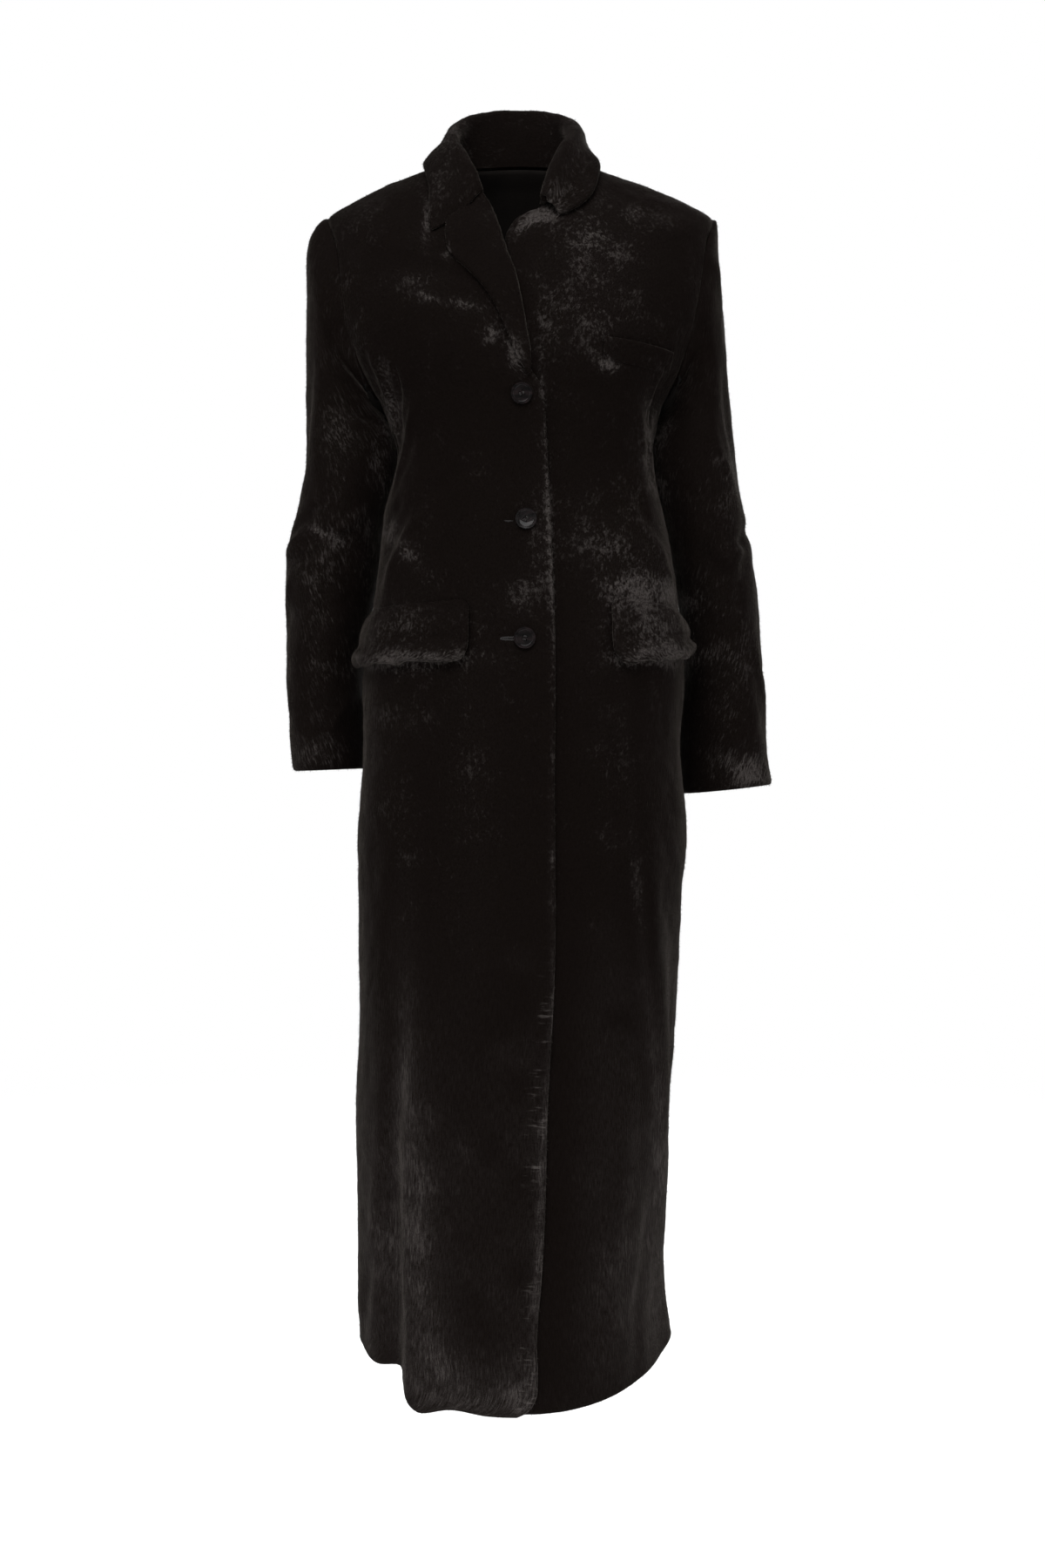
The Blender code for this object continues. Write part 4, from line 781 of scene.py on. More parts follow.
def refined(grid, rows, columns, closed=False):
    """A grid read at finer rows and columns, from 0 to 1, along smooth curves."""
    grid = smooth_curve(np.linspace(0.0, 1.0, len(grid)), grid, rows)
    count = grid.shape[1]
    if closed:
        places = np.arange(-3, count + 4) / count
        grid = grid[:, np.arange(-3, count + 4) % count]
    else:
        places = np.linspace(0.0, 1.0, count)
    return np.swapaxes(smooth_curve(places, np.swapaxes(grid, 0, 1), columns), 0, 1)


def lengths(grid, axis):
    """How far each point of a grid is from its line's start, along the line."""
    steps = np.linalg.norm(np.diff(grid, axis=axis), axis=-1)
    first = np.zeros_like(np.take(steps, [0], axis=axis))
    return np.cumsum(np.concatenate([first, steps], axis=axis), axis=axis)


def border_distances(grid, closed):
    """How far each point is from the first row, last row, first column and last column."""
    down, across = lengths(grid, 0), lengths(grid, 1)
    far = np.full(down.shape, FAR)
    if closed:
        return down, down[-1:] - down, far, far
    return down, down[-1:] - down, across, across[:, -1:] - across


def wrinkled(angle, level, table, around):
    """The placed wrinkles' height at each place."""
    total = np.zeros(np.broadcast(angle, level).shape)
    for one in table:
        side = np.radians(half_turn(np.degrees(angle) - one.angle)) * around
        rise = level - one.level
        turn = math.radians(one.turn)
        run = side * math.cos(turn) + rise * math.sin(turn)
        off = rise * math.cos(turn) - side * math.sin(turn)
        off = off + 0.15 * one.half_width * np.sin(run / one.half_length * 5.0)
        fade = smoothstep(1.35 - np.abs(run) / one.half_length)
        total += one.depth * fade * np.exp(-((off / one.half_width) ** 2))
    return total


def painted_sheen_share(points, out):
    """How much painted sheen highlight the pile gets at each point, from 0 to 1: the listed
    patches and random ones in front, random ones elsewhere.
    """
    total = np.zeros(points.shape[:-1])
    for one in PAINTED_SHEEN:
        turn = math.radians(one.turn)
        x, z = points[..., 0] - one.x, points[..., 2] - one.z
        run = (x * math.cos(turn) + z * math.sin(turn)) / one.across
        rise = (z * math.cos(turn) - x * math.sin(turn)) / one.up
        total += one.strength * np.exp(-(run**2 + rise**2) * 0.8)
    in_front = smoothstep((0.15 - out[..., 1]) / 0.5)
    patchy = cloud(points * (1.0, 1.0, 0.6), 0.085, 11) + 0.5 * cloud(points, 0.03, 12)
    total += 0.30 * smoothstep((patchy - 0.05) / 0.9)
    slender = 0.6 * cloud(points * (1.0, 1.0, 0.35), 0.045, 13) + 0.4 * cloud(points, 0.018, 14)
    elsewhere = 0.12 + 0.42 * smoothstep((0.5 * patchy + slender - 0.10) / 0.9)
    return np.clip(mix(elsewhere, np.clip(total, 0.0, 1.0), in_front), 0.0, 1.0)


def lumps(points, height):
    """The soft unevenness of the pile."""
    return height * (
        0.60 * cloud(points * (1.0, 1.0, 0.55), 0.034, 1)
        + 0.45 * cloud(points * (1.0, 1.0, 0.7), 0.014, 2)
        + 0.22 * cloud(points, 0.0065, 3)
    )


# ---- walls with two faces


class Wall:
    """A closed wall between an outer and an inner grid, with its maps and masks."""

    def __init__(self, node, outer, inner, free, sewn=(), closed=False, relief=0.0, ripple=0.0):
        sizes = bpy.context.scene.coat_mesh
        self.node, self.name, self.closed = node, "coat_" + node, closed
        out = grid_normals(outer, closed)
        if np.sum(out * (outer - inner)) < 0:
            out = -out
        borders = dict(zip(("top", "foot", "start", "end"), border_distances(outer, closed)))
        none = borders["top"] + FAR
        edge, seam = (
            np.minimum.reduce([none, *(borders[key] for key in keys)]) for keys in (free, sewn)
        )
        height = lumps(outer, sizes.lump_depth) + relief
        height = height * smoothstep(0.5 + seam / 0.012)
        # painted sheen highlights: where the pile's colour is made lighter for the light its nap
        # catches
        self.brushed = painted_sheen_share(outer, out)
        outer = outer + out * height[..., None]
        thickness = np.linalg.norm(outer - inner, axis=-1)
        bites = [np.clip(1.0 - edge / (thickness * reach), 0.0, 1.0) for reach in (0.85, 0.5)]
        rounded = [(0.96 * (1.0 - np.sqrt(1.0 - bite**2)))[..., None] for bite in bites]
        middle = (outer + inner) / 2
        dip = sizes.seam_depth * np.exp(-((seam / sizes.seam_width) ** 2))
        self.outer = mix(outer, middle, rounded[0]) - out * dip[..., None]
        self.inner = mix(inner, middle, rounded[1])
        self.edge, self.seam, self.wrap = edge, seam, sizes.wrap
        self.ripple = ripple + np.zeros(edge.shape)
        self.run, self.fall = lengths(outer, 1), lengths(outer, 0)

    def corners(self):
        """Each face's corners as (layer, row, column): 0 outer, 1 inner, 2 and 3 the rim."""
        rows, columns = self.outer.shape[:2]
        wide = columns if self.closed else columns - 1
        row, col = np.meshgrid(np.arange(rows - 1), np.arange(wide), indexing="ij")
        row, col = row.ravel(), col.ravel()
        zero = np.zeros_like(row)

        def quads(layer, order):
            places = ((row, col), (row, col + 1), (row + 1, col + 1), (row + 1, col))
            stacked = [np.stack([zero + layer, *places[k]], -1) for k in order]
            return np.stack(stacked, 1)

        faces = [quads(0, (0, 1, 2, 3)), quads(1, (3, 2, 1, 0))]
        if self.closed:
            lines = [[(0, c) for c in range(columns, -1, -1)]]
            lines.append([(rows - 1, c) for c in range(columns + 1)])
        else:
            line = [(0, c) for c in range(columns - 1, 0, -1)]
            line += [(r, 0) for r in range(rows - 1)]
            line += [(rows - 1, c) for c in range(columns - 1)]
            line += [(r, columns - 1) for r in range(rows - 1, -1, -1)]
            lines = [line]
        rims = []
        for line in lines:
            for one, two in zip(line, line[1:]):
                rims.append(((0, *one), (0, *two), (2, *two), (2, *one)))
                rims.append(((3, *one), (3, *two), (1, *two), (1, *one)))
        return np.concatenate([*faces, np.array(rims)])

    def build(self, look, hide):
        """The wall as one object; `look` is the pile and `hide` the inner face."""
        rows, columns = self.outer.shape[:2]
        count = rows * columns
        corners = self.corners()
        layer, row, col = corners[..., 0], corners[..., 1], corners[..., 2]
        flat = row * columns + col % columns
        on_rim = np.unique(flat[layer >= 2])
        rim_index = np.zeros(count, int)
        rim_index[on_rim] = 2 * count + np.arange(len(on_rim))
        index = np.where(layer == 0, flat, np.where(layer == 1, flat + count, rim_index[flat]))
        middle = ((self.outer + self.inner) / 2).reshape(-1, 3)
        outward = np.zeros_like(self.outer)
        outward[0] = self.outer[0] - self.outer[1]
        outward[-1] = self.outer[-1] - self.outer[-2]
        if not self.closed:
            outward[:, 0] += self.outer[:, 0] - self.outer[:, 1]
            outward[:, -1] += self.outer[:, -1] - self.outer[:, -2]
        size = np.linalg.norm(outward, axis=-1, keepdims=True) + 1e-9
        outward = (outward / size).reshape(-1, 3)
        rim_points = middle[on_rim] + RIM_OUT * outward[on_rim]
        points = np.concatenate([self.outer.reshape(-1, 3), self.inner.reshape(-1, 3), rim_points])
        one, two, three, four = (points[index[:, k]] for k in range(4))
        if np.sum(one * (np.cross(two, three) + np.cross(three, four))) < 0:
            index, corners = index[:, ::-1], corners[:, ::-1]
            layer, row, col = corners[..., 0], corners[..., 1], corners[..., 2]
        mesh = bpy.data.meshes.new(self.name)
        mesh.from_pydata(points.tolist(), [], index.tolist())
        self.add_maps(mesh, layer, row, col)
        self.add_masks(mesh, on_rim)
        near_edge = self.edge[row, col % columns].min(axis=1) < self.wrap
        plain = (layer == 1).all(axis=1) & ~near_edge
        mesh.materials.append(look)
        mesh.materials.append(hide)
        mesh.polygons.foreach_set("material_index", plain.astype(np.int32))
        mesh.shade_smooth()
        return linked(self.name, mesh)

    def add_maps(self, mesh, layer, row, col):
        """The cut's own map in metres, and one that lays both faces side by side."""
        run, fall = self.run, self.fall
        if self.closed:
            last = run[:, -1:] + np.linalg.norm(self.outer[:, :1] - self.outer[:, -1:], axis=-1)
            run = np.concatenate([run, last], 1)
            fall = np.concatenate([fall, fall[:, :1]], 1)
        cut = np.stack([run[row, col], fall[row, col]], -1)
        share = run.mean(0) / run.mean(0)[-1]
        down = fall.mean(1) / fall.mean(1)[-1]
        inner = (layer == 1) | (layer == 3)
        across = 0.02 + 0.46 * share[col] + 0.5 * inner
        rise = 0.02 + 0.96 * down[row]
        rim = layer >= 2
        across = across + 0.008 * rim * ((col == len(share) - 1) * 1.0 - (col == 0) * 1.0)
        rise = rise + 0.008 * rim * ((row == len(down) - 1) * 1.0 - (row == 0) * 1.0)
        for name, values in (("pile_cut", cut), ("OFBake", np.stack([across, rise], -1))):
            layer_map = mesh.uv_layers.new(name=name)
            layer_map.data.foreach_set("uv", values.reshape(-1, 2).astype(np.float32).ravel())

    def add_masks(self, mesh, on_rim):
        """Where the pile gets painted sheen highlights, where it ripples, and where it grows
        fibres.
        """
        wrapped = (self.edge < FRINGE) * 1.0
        grown = mix(0.8, 1.0, smoothstep(self.seam / FRINGE)) * mix(1.0, 1.2, wrapped)
        masks = {
            "brushed": (self.brushed, self.brushed),
            "ripple": (self.ripple, np.zeros_like(self.ripple)),
            "grown": (grown, wrapped),
        }
        for name, (outside, inside) in masks.items():
            outside, inside = outside.ravel(), inside.ravel()
            values = np.concatenate([outside, inside, outside[on_rim]])
            mask = mesh.attributes.new(name, "FLOAT", "POINT")
            mask.data.foreach_set("value", values.astype(np.float32))


# ---- node trees


class Value:
    """A number in a node tree, so that sums can be written as they are said."""

    def __init__(self, tree, socket):
        self.tree, self.socket = tree, socket

    def __add__(self, other):
        return self.tree.maths("ADD", self, other)

    def __sub__(self, other):
        return self.tree.maths("SUBTRACT", self, other)

    def __rsub__(self, other):
        return self.tree.maths("SUBTRACT", other, self)

    def __mul__(self, other):
        return self.tree.maths("MULTIPLY", self, other)

    def __truediv__(self, other):
        return self.tree.maths("DIVIDE", self, other)

    __radd__ = __add__
    __rmul__ = __mul__


class Nodes:
    """Makes nodes in a tree: type, settings, then the values or links of the inputs."""

    def __init__(self, tree):
        self.tree = tree

    def node(self, kind, settings=None, inputs=None):
        made = self.tree.nodes.new(kind)
        for name, value in (settings or {}).items():
            setattr(made, name, value)
        for name, value in (inputs or {}).items():
            self.feed(self.socket(made.inputs, name), value)
        return made

    @staticmethod
    def socket(sockets, name):
        if isinstance(name, int):
            return sockets[name]
        found = [one for one in sockets if one.identifier == name]
        return found[0] if found else [one for one in sockets if one.name == name][0]

    def feed(self, socket, value):
        if isinstance(value, Value):
            value = value.socket
        if isinstance(value, bpy.types.NodeSocket):
            self.tree.links.new(value, socket)
        else:
            socket.default_value = value

    def value(self, kind, settings=None, inputs=None, output=0):
        made = self.node(kind, settings, inputs)
        return Value(self, self.socket(made.outputs, output))

    def maths(self, operation, first, second, node="ShaderNodeMath"):
        return self.value(node, {"operation": operation}, {0: first, 1: second})

    def vector(self, operation, first, second):
        return self.maths(operation, first, second, "ShaderNodeVectorMath")


class Finish(Nodes):
    """A material and its shader."""

    def __init__(self, name, **constants):
        self.material = bpy.data.materials.new(name)
        self.material.use_nodes = True
        super().__init__(self.material.node_tree)
        self.shader = self.tree.nodes["Principled BSDF"]
        self.place = self.value("ShaderNodeTexCoord", output="Object")
        for key, value in constants.items():
            self.set(key.replace("_", " ").title(), value)

    def set(self, name, value):
        socket = [one for one in self.shader.inputs if one.name.lower() == name.lower()][0]
        self.feed(socket, value)

    def attribute(self, name, output="Fac"):
        return self.value("ShaderNodeAttribute", {"attribute_name": name}, output=output)

    def noise(self, place, scale, detail, roughness, distortion=0.0):
        """Noise from 0 to 1; a scale of three numbers stretches it."""
        if isinstance(scale, tuple):
            place, scale = self.vector("MULTIPLY", place, scale), 1.0
        inputs = {"Vector": place, "Scale": scale, "Detail": detail, "Roughness": roughness}
        inputs["Distortion"] = distortion
        return self.value("ShaderNodeTexNoise", None, inputs)

    def between(self, value, low, high):
        """0 at `low`, 1 at `high` and smooth in between."""
        settings = {"interpolation_type": "SMOOTHSTEP"}
        inputs = {"Value": value, "From Min": low, "From Max": high}
        return self.value("ShaderNodeMapRange", settings, inputs)

    def blend(self, share, first, second):
        settings = {"data_type": "RGBA", "clamp_factor": True}
        inputs = {"Factor_Float": share, "A_Color": first, "B_Color": second}
        return self.value("ShaderNodeMix", settings, inputs, "Result_Color")

    def bump(self, height, distance, strength=1.0, under=None):
        inputs = {"Height": height, "Distance": distance, "Strength": strength}
        if under is not None:
            inputs["Normal"] = under
        return self.value("ShaderNodeBump", None, inputs)


def colour(values):
    return (*values, 1.0)


def made_once(name):
    """Marks a function that makes a finish: it is made at the first call and kept."""

    def keep(make):
        return lambda: bpy.data.materials.get(name) or make(name)

    return keep


def sheared_pile(name):
    """Short sheared pile: near black, with random flecks and streaks, and painted sheen highlights
    where its nap is disturbed.
    """
    pile = bpy.context.scene.coat_pile
    look = Finish(
        name,
        sheen_weight=0.09,
        sheen_roughness=0.16,
        sheen_tint=(0.95, 0.84, 0.74, 1.0),
        specular_ior_level=0.022,
    )
    cut = look.attribute("pile_cut", "Vector")
    # the mask of painted sheen highlights
    brushed = look.attribute("brushed")
    ripple = look.attribute("ripple")
    height = look.value("ShaderNodeSeparateXYZ", None, {"Vector": look.place}, "Z")
    skirt = look.between(height, -0.68, -0.92)
    clump = look.noise(cut, (230.0, 150.0, 1.0), 6.0, 0.76, 0.4)
    long_clump = look.noise(cut, (520.0, 52.0, 1.0), 6.0, 0.72, 0.5)
    clump = clump + (long_clump - clump) * skirt
    drift = look.noise(look.place, 28.0, 4.0, 0.65)
    streak = look.noise(cut, (900.0, 110.0, 1.0), 3.0, 0.65)
    grain = look.noise(look.place, 1250.0, 2.0, 0.6)
    wave = look.noise(cut, (55.0, 330.0, 1.0), 3.0, 0.6)
    patch = clump * 0.66 + drift * 0.34
    low = 0.56 - 0.13 * brushed
    fleck = look.between(patch, low, low + 0.10 + 0.12 * skirt)
    blot = look.noise(cut, (520.0, 330.0, 1.0), 3.0, 0.6)
    blot = blot + (streak - blot) * skirt
    fine = look.between(blot * 0.55 + grain * 0.45, 0.38, 0.62)
    # base colour from the dark pile towards the painted sheen colour: a little at random flecks
    # and streaks everywhere, much more where the painted sheen mask is high, more so on the skirt
    share = fleck * (0.075 + (0.47 - 0.10 * skirt) * brushed) * (0.25 + 0.75 * fine)
    share = share + (0.012 + (0.05 + 0.10 * skirt) * brushed) * fine
    # painted highlight along the rows of ripples by the right front's edge; the ripples are also a
    # bump below
    share = share + ripple * 0.55 * look.between(wave, 0.54, 0.66) * look.between(drift, 0.44, 0.6)
    look.set("Base Color", look.blend(share, colour(pile.deep), colour(pile.lit)))
    look.set("Roughness", 0.86 - 0.16 * share)
    if name == "sheared_pile":
        relief = look.bump(clump, 0.0016, 0.55)
        relief = look.bump(wave * ripple, 0.0030, 0.8, relief)
        relief = look.bump(streak * 0.6 + grain * 0.4, 0.0009, 0.75, relief)
        look.set("Normal", relief)
    return look.material


pile_look = made_once("sheared_pile")(sheared_pile)
fibre_look = made_once("pile_fibre")(sheared_pile)


@made_once("hide_inside")
def hide_look(name):
    """The hide's inner face: dark, matt, finely napped."""
    look = Finish(name, sheen_weight=0.01, sheen_roughness=0.6, specular_ior_level=0.03)
    base = bpy.context.scene.coat_pile.hide
    cloudy = look.noise(look.place, 14.0, 4.0, 0.6)
    nap = look.noise(look.place, 700.0, 3.0, 0.65)
    light = tuple(1.7 * part for part in base)
    share = look.between(cloudy * 0.7 + nap * 0.3, 0.38, 0.66)
    look.set("Base Color", look.blend(share, colour(base), colour(light)))
    look.set("Roughness", 0.88 + 0.08 * nap)
    look.set("Normal", look.bump(nap * 0.5 + cloudy * 0.5, 0.0006, 0.6))
    return look.material


@made_once("polished_button")
def horn_look(name):
    """Polished black buttons with a faint brownish figure."""
    look = Finish(name, coat_roughness=0.03, specular_ior_level=0.03)
    base = bpy.context.scene.coat_buttons.colour
    figure = look.noise(look.place, (90.0, 90.0, 260.0), 3.0, 0.55)
    worn = look.noise(look.place, 1400.0, 2.0, 0.5)
    light = (base[0] * 3.4, base[1] * 2.7, base[2] * 2.8, 1.0)
    look.set("Base Color", look.blend(look.between(figure, 0.4, 0.7), colour(base), light))
    look.set("Roughness", 0.22 + 0.10 * look.between(worn, 0.45, 0.75))
    look.set("Coat Weight", 0.10 + 0.10 * figure)
    look.set("Normal", look.bump(worn, 0.00005, 0.4))
    return look.material


@made_once("sewing_thread")
def thread_look(name):
    """Black twisted sewing thread."""
    look = Finish(name, sheen_weight=0.2, sheen_roughness=0.4, specular_ior_level=0.3)
    twist = look.noise(look.place, 2600.0, 2.0, 0.6)
    share = look.between(twist, 0.4, 0.7)
    dark, light = (0.004, 0.003, 0.003, 1.0), (0.020, 0.017, 0.016, 1.0)
    look.set("Base Color", look.blend(share, dark, light))
    look.set("Roughness", 0.62 + 0.14 * twist)
    look.set("Normal", look.bump(twist, 0.0002, 0.6))
    return look.material


# ---- Geometry Nodes


class Growth(Nodes):
    """A Geometry Nodes tree with named inputs."""

    def __init__(self, name, *numbers):
        super().__init__(bpy.data.node_groups.new(name, "GeometryNodeTree"))
        kinds = {"Geometry": "Geometry", **{key: "Float" for key in numbers}}
        kinds.update(Seed="Int", Material="Material")
        sockets = self.tree.interface
        for key, kind in kinds.items():
            sockets.new_socket(key, in_out="INPUT", socket_type="NodeSocket" + kind)
        sockets.new_socket("Geometry", in_out="OUTPUT", socket_type="NodeSocketGeometry")
        given = self.tree.nodes.new("NodeGroupInput").outputs
        self.given = {key: Value(self, given[key]) for key in kinds}
        self.result = self.tree.nodes.new("NodeGroupOutput").inputs[0]

    def upward(self, rise):
        return self.value("ShaderNodeCombineXYZ", None, {"Z": rise})

    def attribute(self, name, kind):
        settings = {"data_type": kind}
        return self.value("GeometryNodeInputNamedAttribute", settings, {"Name": name})

    def stored(self, geometry, name, value, kind):
        """The geometry with a value kept at each corner of its faces."""
        inputs = {"Geometry": geometry, "Name": name, "Value": value}
        settings = {"data_type": kind, "domain": "CORNER"}
        return self.value("GeometryNodeStoreNamedAttribute", settings, inputs)

    def jittered(self, way, reach):
        """A direction with a random vector added, up to `reach` to each side."""
        inputs = {"Min": tuple(-part for part in reach), "Max": reach, "Seed": self.given["Seed"]}
        jitter = self.value("FunctionNodeRandomValue", {"data_type": "FLOAT_VECTOR"}, inputs)
        return self.vector("ADD", way, jitter)

    def standing(self, way):
        """The turn that stands a shape along a direction."""
        return self.value("FunctionNodeAlignRotationToVector", {"axis": "Z"}, {"Vector": way})

    def on_points(self, points, shape, turned, **more):
        inputs = {"Points": points, "Instance": shape, "Rotation": turned, **more}
        return self.value("GeometryNodeInstanceOnPoints", None, inputs)

    def real(self, geometry):
        return self.value("GeometryNodeRealizeInstances", None, {0: geometry})

    def finish(self, geometry):
        inputs = {0: self.real(geometry), "Material": self.given["Material"]}
        self.feed(self.result, self.value("GeometryNodeSetMaterial", None, inputs))
        return self.tree


def grown(tree, mesh, name, **values):
    """The tree's result on a mesh, as a plain smooth object of its own."""
    carrier = linked(name + "_carrier", mesh)
    modifier = carrier.modifiers.new("Growth", "NODES")
    modifier.node_group = tree
    for item in tree.interface.items_tree:
        if item.in_out == "INPUT" and item.name in values:
            modifier[item.identifier] = values[item.name]
    made = evaluated_mesh(carrier, preserve_all_data_layers=True)
    made.name = name
    made.shade_smooth()
    bpy.data.objects.remove(carrier)
    return linked(name, made)


def fibre_tree():
    """Short spikes all over the pile, leaning down with the nap."""
    name = "pile_fibres"
    if bpy.data.node_groups.get(name):
        return bpy.data.node_groups[name]
    net = Growth(name, "Density", "Length", "Radius", "Sunk", "Lean")
    given = net.given
    density = net.attribute("grown", "FLOAT") * given["Density"]
    points = net.node(
        "GeometryNodeDistributePointsOnFaces",
        {"distribute_method": "RANDOM"},
        {"Mesh": given["Geometry"], "Density": density, "Seed": given["Seed"]},
    )
    nap = net.vector("ADD", points.outputs["Normal"], net.upward(0.0 - given["Lean"]))
    turned = net.standing(net.jittered(nap, (0.55, 0.55, 0.45)))
    size = net.value(
        "FunctionNodeRandomValue",
        {"data_type": "FLOAT"},
        {"Min_001": 0.65, "Max_001": 1.2, "Seed": given["Seed"]},
        "Value_001",
    )
    cone = {"Vertices": 3, "Side Segments": 1, "Radius Top": 0.0}
    cone.update({"Radius Bottom": given["Radius"], "Depth": given["Length"]})
    spike = net.node("GeometryNodeMeshCone", {"fill_type": "NONE"}, cone)
    small = net.vector("MULTIPLY", spike.outputs["UV Map"], (0.0007, 0.0007, 0.0))
    mapped = net.stored(spike.outputs["Mesh"], "own_map", small, "FLOAT_VECTOR")
    move = {"Geometry": mapped, "Translation": net.upward(0.0 - given["Sunk"])}
    rooted = net.value("GeometryNodeTransform", None, move)
    fibres = net.real(net.on_points(points.outputs["Points"], rooted, turned, Scale=size))
    place = (net.attribute(key, "FLOAT_VECTOR") for key in ("OFBake", "own_map"))
    return net.finish(net.stored(fibres, "OFBake", net.vector("ADD", *place), "FLOAT2"))


def stitch_tree():
    """Small stitches along a path, square to it."""
    name = "overcast_stitches"
    if bpy.data.node_groups.get(name):
        return bpy.data.node_groups[name]
    net = Growth(name, *STITCHES)
    given = net.given
    path = net.value("GeometryNodeMeshToCurve", None, {"Mesh": given["Geometry"]})
    spacing = {"Curve": path, "Length": given["Spacing"]}
    even = net.value("GeometryNodeResampleCurve", {"mode": "LENGTH"}, spacing)
    across = net.jittered(net.attribute("across", "FLOAT_VECTOR"), (0.2, 0.2, 0.2))
    bead = {"Segments": 6, "Rings": 5, "Radius": given["Thread radius"]}
    bead = net.value("GeometryNodeMeshUVSphere", None, bead, "Mesh")
    slender = given["Stitch length"] / given["Thread radius"] * 0.5
    longer = net.value("ShaderNodeCombineXYZ", None, {"X": 1.0, "Y": 1.0, "Z": slender})
    stitch = net.value("GeometryNodeTransform", None, {"Geometry": bead, "Scale": longer})
    return net.finish(net.on_points(even, stitch, net.standing(across)))


# ---- helpers for the pieces


def settle_piece(piece, slot, *nodes):
    """Fastens a piece to the coat's body and hides the frame's nodes that it stands in for; its
    slot is not used.
    """
    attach(piece, "root")
    if nodes:
        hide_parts(*nodes)


def grow_fibres(piece, name):
    """The short fibres of one piece of pile."""
    pile = bpy.context.scene.coat_pile
    sizes = {"Density": pile.density, "Length": pile.length, "Radius": pile.width}
    sizes.update(Sunk=pile.sunk, Lean=pile.lean, Seed=pile.seed, Material=fibre_look())
    return grown(fibre_tree(), piece.data, name, **sizes)


def cloth_piece(wall):
    slot, flat, area, held, rests_on = SHEETS[wall.node]
    piece = wall.build(pile_look(), hide_look())
    fibres = grow_fibres(piece, wall.name + "_fibres")
    settle_piece(piece, slot, wall.node)
    settle_piece(fibres, slot)


def tree_of(grid):
    """A search tree of a grid's faces."""
    rows, columns = grid.shape[:2]
    count = np.arange(rows * columns).reshape(rows, columns)
    corners = (count[:-1, :-1], count[:-1, 1:], count[1:, 1:], count[1:, :-1])
    faces = np.stack(corners, -1).reshape(-1, 4).tolist()
    return BVHTree.FromPolygons(grid.reshape(-1, 3).tolist(), faces)


def tree_of_node(name):
    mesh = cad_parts[name].data
    points = [vertex.co for vertex in mesh.vertices]
    return BVHTree.FromPolygons(points, [list(face.vertices) for face in mesh.polygons])


def coarse_levels():
    """The frame's own rows."""
    hem = [HEM, -1.213, -1.200, -1.176]
    skirt = np.linspace(-1.140, -0.600, 13)
    waist = np.linspace(-0.560, -0.255, 11)
    shoulder = [-0.012, 0.007, 0.0225, NECK]
    return np.concatenate([hem, skirt, waist, armhole_levels(ARMHOLE_ROWS), shoulder])


def surface_trees():
    """The outsides of the panels, for finding how far a point is from them."""
    levels = coarse_levels()
    front, back = np.linspace(0.0, 1.0, 13), np.linspace(0.0, 1.0, 23)
    right = front_angles(-1, RIGHT_EDGE, levels, front)[:, ::-1]
    left = front_angles(1, LEFT_EDGE, levels, front)
    return [
        tree_of(right_body(right, levels[:, None])),
        tree_of(left_body(left, levels[:, None])),
        tree_of(left_body(back_angles(levels, back), levels[:, None])),
    ]


def gap_to(trees, point):
    """How far outside the nearest of them a point is, and the way out."""
    found = [tree.find_nearest(point) for tree in trees]
    place, normal, _, gap = min(found, key=lambda hit: hit[3])
    return (gap if (point - place).dot(normal) >= 0 else -gap), normal


def shortfall(trees, point, distance):
    """What to add to a point so that it's this far outside the panels."""
    moved = Vector(point)
    for _ in range(4):
        gap, normal = gap_to(trees, moved)
        if gap >= distance:
            break
        moved = moved + normal * (distance - gap)
    return np.array(moved) - point


def settled(outer, inner, trees, columns, distance):
    """Both faces of a wall, moved out wherever the inner one lies too near the panels."""
    outer, inner = outer.copy(), inner.copy()
    for row in range(inner.shape[0]):
        for col in range(inner.shape[1])[columns]:
            need = shortfall(trees, inner[row, col], distance)
            inner[row, col] += need
            outer[row, col] += need
    return outer, inner


# ---- the pieces


def body_wall(node, surface, angles, levels, free, ripple=0.0, extra=0.0):
    """A stretch of the body with its wrinkles."""
    sizes = bpy.context.scene.coat_mesh
    levels = np.broadcast_to(levels[:, None], angles.shape)
    outer = surface(angles, levels)
    inner = outer - WALL * normals(surface, angles, levels)
    relief = sizes.wrinkles * wrinkled(angles, levels, BODY_WRINKLES, AROUND_BODY) + extra
    sewn = tuple(key for key in ("foot", "start", "end") if key not in free)
    return Wall(node, outer, inner, free, sewn, relief=relief, ripple=ripple)


